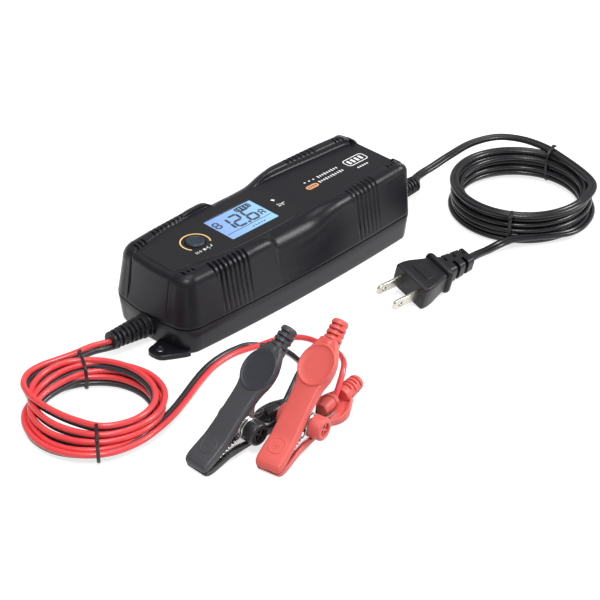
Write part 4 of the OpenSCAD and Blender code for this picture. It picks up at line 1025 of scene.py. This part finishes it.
# how the wall runs at a station: lean, recess of the band, height and reach of the shoulder, crest
def wallAt(x, y, edge, share):
    front, side, rear = case["lean"]
    frontReach, cornerReach, hornReach, rearReach = case["reach"]
    crest, shoulder = crestAt(y), shoulderAt(y)
    reach = shoulder * 0.8 + 0.8
    if edge == "front":
        bandHalf, bandDeep = case["band"]
        raised = smooth(bandHalf - 0.25, bandHalf + 0.3, abs(x))
        groove = 0.35 * exp(-(((abs(x) - bandHalf + 0.1) / 0.3) ** 2))
        return (front, bandDeep * (1 - raised) + groove, blend(*case["frontShoulder"], raised),
                blend(frontReach, cornerReach, raised), blend(caseTop, case["frontCrest"], raised))
    if edge == "frontCorner":
        swell = sin(pi * share)
        reach = blend(cornerReach, reach, smooth(0, 1, share)) + 0.8 * swell
        return blend(front, side, share), 0.0, shoulder + 1.2 * swell, reach, crest
    if edge == "side":
        return side, 0.0, shoulder, reach, crest
    rearLow, rearHigh = case["rearShoulder"]
    if edge == "rearCorner":
        turn = smooth(0, 0.85, share)
        return (blend(side, rear, turn), 0.0, blend(shoulder, rearHigh, turn), blend(reach, hornReach, turn),
                crest)
    raised = smooth(*case["rearBand"], abs(x))
    return (rear, 0.0, blend(rearLow, rearHigh, raised), blend(rearReach, hornReach, raised),
            blend(caseTop, crest + case["hornLift"], raised))


# inner edge of the rail beside a station
def railFoot(x, y, edge, inset):
    (front, rear), (frontSweep, rearSweep) = case["railEnds"], case["railSweep"]
    front, rear = front - halfLength, halfLength - rear
    fy = {"front": front, "frontCorner": front + (y + halfLength + case["frontBow"]) * frontSweep,
          "side": y, "rearCorner": rear - (halfLength - y) * rearSweep, "rear": rear}[edge]
    fx = flatAt(fy)
    if edge == "side":
        fx = min(fx, abs(x) - inset - 0.8)
    elif edge == "front":
        fx, fy = min(abs(x), fx), max(fy, y + inset + 0.5)
    elif edge == "rear":
        fx, fy = min(abs(x), fx), min(fy, y - inset - 0.6)
    return copysign(fx, x), fy


# section of the cover at a station, from the seam up the wall, over the rail and on to the flat
def coverRing(x, y, nx, ny, edge, share):
    lean, band, shoulder, reach, crest = wallAt(x, y, edge, share)
    fx, fy = railFoot(x, y, edge, lean + band + reach)
    deep, long = gripCut(y) if edge == "side" else (0.0, 0.0)
    foot, middle = deep * long * 0.55, deep * long
    low = crest - shoulder
    rows = [(0.45, upperSeam), (0.12, upperSeam + 0.14), (0.0, upperSeam + 0.45)]
    for part in (0.07, 0.27, 0.5, 0.72, 0.9):
        g = foot * 2 * part if part <= 0.5 else foot + (middle - foot) * (part - 0.5) * 2
        rows.append((lean * part + band * min(1, part * 3) + g, upperSeam + (low - upperSeam) * part))
    for a in np.linspace(0, pi / 2, 11):
        c, s = cos(a), sin(a)
        g = middle + (deep - middle) * s
        rows.append((lean + band + (1 - c) * reach + g * c, low + s * shoulder - g * s))
    points = [(x - nx * u, y - ny * u, z) for u, z in rows]
    rimX, rimY, _ = points[-1]
    width = hypot(rimX - fx, rimY - fy) or 1e-6
    flank = min(0.8, 2.2 / width) * (1 if crest > caseTop + 0.1 else 0.5)

    def across(share, z):
        points.append((blend(rimX, fx, share), blend(rimY, fy, share), z))

    for t, grooved in ((0.2, 1.0), (0.45, 0.95), (0.7, 0.9), (0.9, 0.8)):
        across(t * (1 - flank), crest - deep * grooved)
    for t in np.linspace(0, 1, 6):
        drop = (crest - caseTop) * (0.5 - 0.5 * cos(pi * t))
        across(1 - flank * (1 - t), max(caseTop, crest - drop - deep * 0.75 * (1 - t) ** 2))
    inX = fx * (1 - 0.5 / max(abs(fx), 1.0))
    points.append((inX, fy if edge == "side" else fy - copysign(0.5, fy), caseTop))
    return [(px, py, max(pz, upperSeam)) for px, py, pz in points]


# skin round the case from a row of points at each station, flat across the first and the last points
def loftRings(name, rings, finish):
    count, high = len(rings), len(rings[0])
    points = [Vector(p) * mm for points in rings for p in points]
    faces = [(i * high + k, (i + 1) % count * high + k, (i + 1) % count * high + k + 1, i * high + k + 1)
             for i in range(count) for k in range(high - 1)]
    faces += [tuple(i * high for i in range(count)), tuple(i * high + high - 1 for i in range(count))[::-1]]
    return makeMesh(name, points, faces, finish)


# rows of inset and height as points at a station
def inward(station, rows):
    x, y, nx, ny = station[:4]
    return [(x - nx * u, y - ny * u, z) for u, z in rows]


def makeCover():
    inside = [(8.2, ceiling), (case["wall"] + 3, ceiling - 5), (case["wall"], upperSeam)]
    rings = [inward(station, inside) + coverRing(*station) for station in wholePlan(True)]
    cover = loftRings("upperCase", rings, "case")
    cuts = [plate("topCut", hole, ceiling - 2, caseTop + 3, "case") for hole in topHoles()]
    long, wide = case["slot"]
    for y, deep in case["slots"]:
        for side in (-1, 1):
            outline = moved(roundedBox(long, wide, wide * 0.49), side * (flatAt(y) + long / 2 - 0.6), y)
            cuts.append(plate("slotCut", outline, crestAt(y) - deep, 48, "case"))
    cutBy(cover, joined(cuts))
    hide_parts("upper_cover")
    sharpen(cover, 42)


# fixing ears on opposite corners and the collars of the two leads
ear = {
    "outline": [(-9.5, 4.6), (-7.6, 1.2), (-6.5, -1.5), (-5.7, -4.2), (-5.2, -7.2), (-4.5, -8.9),
                (-3.1, -9.9), (-1, -10.2), (2.4, -9.8), (4.4, -9), (6, -7.4), (8.4, -3.6), (10.4, -0.2),
                (11.8, 2.4), (12.6, 4.6)],
    "out": 15, "hole": (2.0, -4.9), "thick": 3,
}
collars = (("collarA", (0, -86.2, 8.6), 90, 3.6), ("collarB", (0, 84.8, 7.0), -90, 3.4))


def makeBase():
    wall, foot = case["wall"], case["foot"]
    rows = [(foot + 1.4, 0), (foot + 0.5, 0.12), (foot + 0.1, 0.5), (foot - 0.08, 1.1), (foot * 0.7, 4.6),
            (foot * 0.35, 9.8), (0.03, lowerSeam - 0.5), (0.15, lowerSeam - 0.16), (0.5, lowerSeam),
            (wall, lowerSeam), (wall + foot, 2.4)]
    base = loftRings("lowerCase", [inward(station, rows) for station in wholePlan(False)], "case")
    out, along = case["screws"]
    cutBy(base, *[plate("screwCut", circle(case["screwHole"], x, y, 32), -1, 2, "case")
                  for x in (-out, out) for y in (-along, along)])
    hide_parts("lower_case")
    pieces = [sharpen(base, 40)]
    radius, inset = ear["hole"]
    for (name, at, turn, long), earName, sign in zip(collars, ("earA", "earB"), (1, -1)):
        outline = [(sign * (ear["out"] + x), sign * (y - halfLength)) for x, y in ear["outline"]]
        hole = circle(radius, sign * ear["out"], sign * (inset - halfLength), 32)
        pieces.append(plate(earName, outline[::sign], 0, ear["thick"], "case", still, 0.35, [hole]))
        profile = [(4, -long), (6.9, -long), (6.9, -0.9), (6.6, -0.3), (6.1, 0), (4, 0)]
        pieces.append(lathe(name, profile, "case", placed(at, x=turn)))


def makeSeal():
    stations = wholePlan(False)
    outer, inner = ([(x - nx * u, y - ny * u) for x, y, nx, ny, *_ in stations] for u in case["sealIn"])
    seal = plate("caseSeal", outer, lowerSeam, upperSeam, "seal", holes=[inner])
    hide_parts("case_seal")


# label film on the flat, and what is printed on it and on the rear of the top
panel = {
    "window": (23, 33, -18.1), "button": -50.0, "buttonRadius": 5.1, "gap": 0.35, "film": 0.22,
    "edge": [(0, 10.5), (8, 9.9), (14, 8.5), (17.2, 4), (18, -2), (18.2, -34), (17.4, -46), (16, -55),
             (13.6, -66), (12.8, -73), (11.4, -75.6), (0, -76)],
    "ring": (7.7, 0.75, 250), "ringThick": 0.12, "ink": 0.05,
}
filmTop = caseTop + panel["film"]


def topHoles():
    wide, long, middle = panel["window"]
    return [moved(roundedBox(wide, long, 0.4, 2), 0, middle),
            circle(panel["buttonRadius"] + panel["gap"], 0, panel["button"])]


def makePanel():
    right = [(float(x), float(y)) for x, y, _ in easedWay([(x, y, 0) for x, y in panel["edge"]], 1.2)]
    outline = right + [(-x, y) for x, y in right[-2:0:-1]]
    film = plate("labelFilm", outline, caseTop, filmTop, "label", still, 0.12, topHoles())
    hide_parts("control_panel")
    radius, width, arc = panel["ring"]
    turns = np.radians(np.linspace(180 - arc / 2, 180 + arc / 2, 60))
    band = [(r * cos(a), panel["button"] + r * sin(a))
            for r, way in ((radius + width / 2, turns), (radius - width / 2, turns[::-1])) for a in way]
    mark = plate("buttonRing", band, filmTop, filmTop + panel["ringThick"], "ringMark", still, 0.04)
    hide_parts("button_ring")


def printed(outline, x, y, turn=0, level=caseTop, finish="print", holes=()):
    c, s = cos(radians(turn)), sin(radians(turn))
    loops = [[(x + px * c - py * s, y + px * s + py * c) for px, py in loop] for loop in (outline, *holes)]
    return plate(finish, loops[0], level, level + panel["ink"], finish, holes=loops[1:])


def box(wide, high):
    return [(-wide / 2, -high / 2), (wide / 2, -high / 2), (wide / 2, high / 2), (-wide / 2, high / 2)]


# plain strokes beside the button by shape and place, and at the rear of the film by place and turn
bar = box(1.9, 0.44)
drop = [(-1.1, -0.6), (1.1, -0.6), (0.7, 0.9), (-0.9, 0.6)]
buttonSigns = [
    ("bar", 0, -0.55), ("bar", 0, 0.55), ("upright", 0, 2.2), ("bar", 0, 2.2), ("box", 0, 4.9),
    ("upright", -0.1, 6.9), ("bar", 0.5, 7.7), ("bar", -0.5, 7.7), ("upright", 0, 9.7), ("bar", -0.7, 10.2),
]
signShapes = {
    "bar": box(1.71, 0.352), "upright": [(y * 0.9, x * 0.8) for x, y in bar], "box": box(1.62, 1.28),
}
filmSigns = [(0, 0, 0), (1.5, 0.3, 90), (0.3, 1.6, 60), (1.4, 2.4, 0), (0.2, 3.4, 90)]
scales = ((-2.4, 40.5, 9), (1.8, 37.5, 11))  # ticks of two scales: place, start and number
battery = {
    "at": (-1.3, 68), "outer": (7.2, 15, 2.2), "inner": (6.0, 13.8, 1.7), "cell": (3.8, 1.6), "first": -4.6,
    "pitch": 2.9, "cells": 4,
}


def makePrint():
    signs = [printed(signShapes[shape], 8.3 + x, y - 56.2, level=filmTop) for shape, x, y in buttonSigns]
    signs.append(printed(drop, -1.9, 6.2, 20, filmTop))
    signs += [printed(bar, 3.2 + x, 5.0 + y, turn, filmTop) for x, y, turn in filmSigns]
    signs += [printed(box(1, 1), x, y) for x, y in ((-3.0, 31), (-2.7, 34), (-2.5, 37))]
    for x, start, count in scales:
        signs += [printed(box(1.5 if k % 3 else 2.1, 0.84), x - 0.02 * k, start + 1.75 * k)
                  for k in range(count)]
    x, y = battery["at"]
    signs.append(printed(roundedBox(*battery["outer"]), x, y, holes=[roundedBox(*battery["inner"])]))
    wide, high = battery["cell"]
    signs += [printed(roundedBox(wide, high, 0.4, 2), x, y + battery["first"] + battery["pitch"] * k)
              for k in range(battery["cells"])]
    signs += [printed(roundedBox(1.3, 1.0, 0.2, 2), 5.7, 63.2 + 1.7 * k) for k in range(5)]
    gaps = [moved(roundedBox(1.7, 0.75, 0.2, 2), 0, 1.65 * k - 2.5) for k in range(4)]
    pill = printed(roundedBox(3.6, 8.4, 1.7), 2.4, 31.4, finish="pill", holes=gaps)
    for piece in (pill, joined(signs, "pictograms")):
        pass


def makeButton():
    r, low = panel["buttonRadius"], ceiling - 0.4
    top = [(0, 0.55), (0.12, 0.9), (0.5, 1.3), (1, 1.55), (1.35, 1.52), (1.7, 1.28), (2.2, 1.16), (3.4, 1.24)]
    rows = [(0.05, low - 0.9), (r + 1.2, low - 0.9), (r + 1.2, low), (r, low)]
    rows += [(r - inset, caseTop + up) for inset, up in top] + [(0.05, caseTop + 1.3)]
    cap = lathe("modeButton", rows, "button", placed((0, panel["button"], 0)), "mode_button", 72)
    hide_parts("button_cap")


# reading on the display, in strokes of seven-part digits: it reads from the front end to the rear
display = {
    "back": (-4.1, -0.1), "face": (-0.2, 2.5), "window": 2.7, "ink": 0.03,  # from the ceiling of the case
    "digits": [  # place, size, parts, stroke and lean
        (4.4, 7.2, 4.8, 10.6, "bc", 1.55, 0.12), (11.3, 7.2, 5.6, 10.6, "abged", 1.55, 0.12),
        (20.1, 7.2, 5.6, 10.6, "afgedc", 1.55, 0.12), (28.0, 7.4, 2.4, 4.8, "afgbce", 1.0, 0.12),
        (1.9, 13.0, 3.0, 5.4, "abcdefg", 1.1, 0),
    ],
    "strokes": [  # point, battery with its pole, baseline
        (18.5, 6.0, 18.5, 8.4, 2.0), (20.2, 21.4, 29.8, 21.4, 0.9), (20.2, 18.2, 29.8, 18.2, 0.9),
        (20.3, 18.1, 20.3, 21.5, 0.8), (29.7, 18.1, 29.7, 21.5, 0.8), (19.5, 19.8, 20.4, 19.8, 1.2),
        (1.2, 5.4, 31.8, 5.4, 0.42),
    ],
}
digitParts = {"a": (0, 2, 1, 2), "b": (1, 2, 1, 1), "c": (1, 1, 1, 0), "d": (0, 0, 1, 0), "e": (0, 1, 0, 0),
              "f": (0, 2, 0, 1), "g": (0, 1, 1, 1)}


def digitStrokes(r, u, w, h, parts, thick, lean):
    strokes = []
    for part in parts:
        a0, b0, a1, b1 = digitParts[part]
        p, q = np.array((r + a0 * w, u + b0 * h / 2)), np.array((r + a1 * w, u + b1 * h / 2))
        gap = (q - p) / np.linalg.norm(q - p) * thick * 0.06
        p, q = p + gap, q - gap
        strokes.append((p[0] + (p[1] - u) * lean, p[1], q[0] + (q[1] - u) * lean, q[1], thick))
    return strokes


def makeDisplay():
    wide, long, middle = panel["window"]
    level = ceiling + display["face"][1]

    def sheet(name, grow, radius, low, high, finish, bevel=0.0):
        outline = moved(roundedBox(wide + grow, long + grow, radius, 2), 0, middle)
        return plate(name, outline, ceiling + low, ceiling + high, finish, still, bevel)

    back = sheet("displayBack", 4, 0.6, *display["back"], "lcdFrame", 0.2)
    face = sheet("displayFace", -0.6, 0.3, *display["face"], "lcdFace")
    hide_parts("lcd_module")
    strokes = [stroke for digit in display["digits"] for stroke in digitStrokes(*digit)] + display["strokes"]
    strokes += [(20.75 + k * 2.15, 19.8, 22.85 + k * 2.15, 19.8, 3.2) for k in range(4)]
    strokes += [(16 + k * 1.9, 2.2 + 0.5 * (k % 2), 17.5 + k * 1.9, 3.0 - 0.5 * (k % 2), 0.6)
                for k in range(5)]
    marks = []
    for r0, u0, r1, u1, thick in strokes:
        a = atan2(u1 - u0, r1 - r0)
        dr, du = cos(a) * thick / 2, sin(a) * thick / 2
        flat = [(r0, u0), (r0 + dr - du, u0 + du + dr), (r1 - dr - du, u1 - du + dr), (r1, u1),
                (r1 - dr + du, u1 - du - dr), (r0 + dr + du, u0 + du - dr)]
        outline = [(wide / 2 - u, middle - long / 2 + r) for r, u in flat]
        marks.append(plate("ink", outline, level, level + display["ink"], "ink"))
    window = sheet("displayWindow", -0.2, 0.4, display["window"], filmTop - ceiling, "window", 0.15)
    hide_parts("display_window")
    for piece in (back, face, joined(marks, "displayInk")):
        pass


# finishes of the pieces inside, which keep their own solids
innerFinishes = {
    "display_board": "board", "main_board": "board", "tact_switch": "tie", "transformer": "winding",
    "filter_capacitors": "capacitor", "heat_sink": "sink", "filter_choke": "choke", "case_screws": "screw",
}


# table, lamps and room light
stage = {
    "tableSize": 40.0, "tableDrop": 0.0002, "grey": 0.42, "glow": 0.74, "room": 0.5,
    "lampTarget": (0.03, 0, 0),
    "lamps": [  # name, place, power and size
        ("sideLamp", (0.82, 0.8, 0.85), 13.0, 0.5),
        ("frontLamp", (0.53, -0.56, 1.18), 9.5, 0.4),
        ("highLamp", (0.0, 0.1, 1.5), 6.5, 0.8),
    ],
}


# the table glows for the camera and in reflections, so it is white without lighting the object
def makeStage():
    finish = Finish("tableWhite", Roughness=0.6)
    path = finish.add("ShaderNodeLightPath")
    rays = ("Is Camera Ray", "Is Glossy Ray", "Is Transmission Ray")
    seen = [Wire(finish, path.socket.node.outputs[ray]) for ray in rays]
    show = path.calc("MAXIMUM", path.calc("MAXIMUM", seen[0], seen[1]), seen[2])
    finish.set("Base Color", rgb(*[stage["grey"]] * 3))
    glow = finish.add("ShaderNodeEmission", None, {"Color": rgb(1, 1, 1), "Strength": stage["glow"]})
    plain = Wire(finish, finish.shader.outputs[0])
    both = finish.add("ShaderNodeAddShader", None, {0: plain, 1: glow})
    mixed = finish.add("ShaderNodeMixShader", None, {0: show, 1: plain, 2: both})
    finish.join(finish.tree.nodes["Material Output"].inputs["Surface"], mixed)
    size = stage["tableSize"]
    floor = bpy.data.meshes.new("table")
    floor.from_pydata([(*corner, 0) for corner in box(2 * size, 2 * size)], [], [(0, 1, 2, 3)])
    floor.materials.append(finish.material)
    table = bpy.data.objects.new("table", floor)
    table.location.z = -stage["tableDrop"]
    scene.collection.objects.link(table)


def makeLamps():
    for name, place, power, size in stage["lamps"]:
        data = bpy.data.lights.new(name, "AREA")
        data.shape, data.size, data.energy = "DISK", size, power
        aimAt(bpy.data.objects.new(name, data), place, stage["lampTarget"])
    world = bpy.data.worlds.new("room")
    world.use_nodes = True
    background = world.node_tree.nodes["Background"].inputs
    background["Color"].default_value = rgb(1, 1, 1)
    background["Strength"].default_value = stage["room"]
    scene.world = world


makeCamera()
mainsCord, mainsPath = makeMains()
(redCord, redPath), (blackCord, blackPath) = makeCharging()
tieParts = [part for one in ties for part in makeTie(*one)]
for one in sleeves:
    makeSleeve(*one)
plugParts = makePlug()
print("cords, ties, sleeves and plug made")
clipParts = {colour: makeClip(colour) for colour in clips}
print("clips made")
makeCover()
makeBase()
makeSeal()
makePanel()
makePrint()
makeButton()
makeDisplay()
for name, finish in innerFinishes.items():
    nodes[name].data.materials.clear()
    nodes[name].data.materials.append(finishes[finish].material)
print("case made")
makeStage()
makeLamps()

plugParts + tieParts[:4]
for piece, path, parts in (
        (redCord, redPath, clipParts["red"] + tieParts[4:]), (blackCord, blackPath, clipParts["black"])):
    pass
print("cords of", [round(wayLength(p), 3) for p in (mainsPath, redPath, blackPath)], "metres")
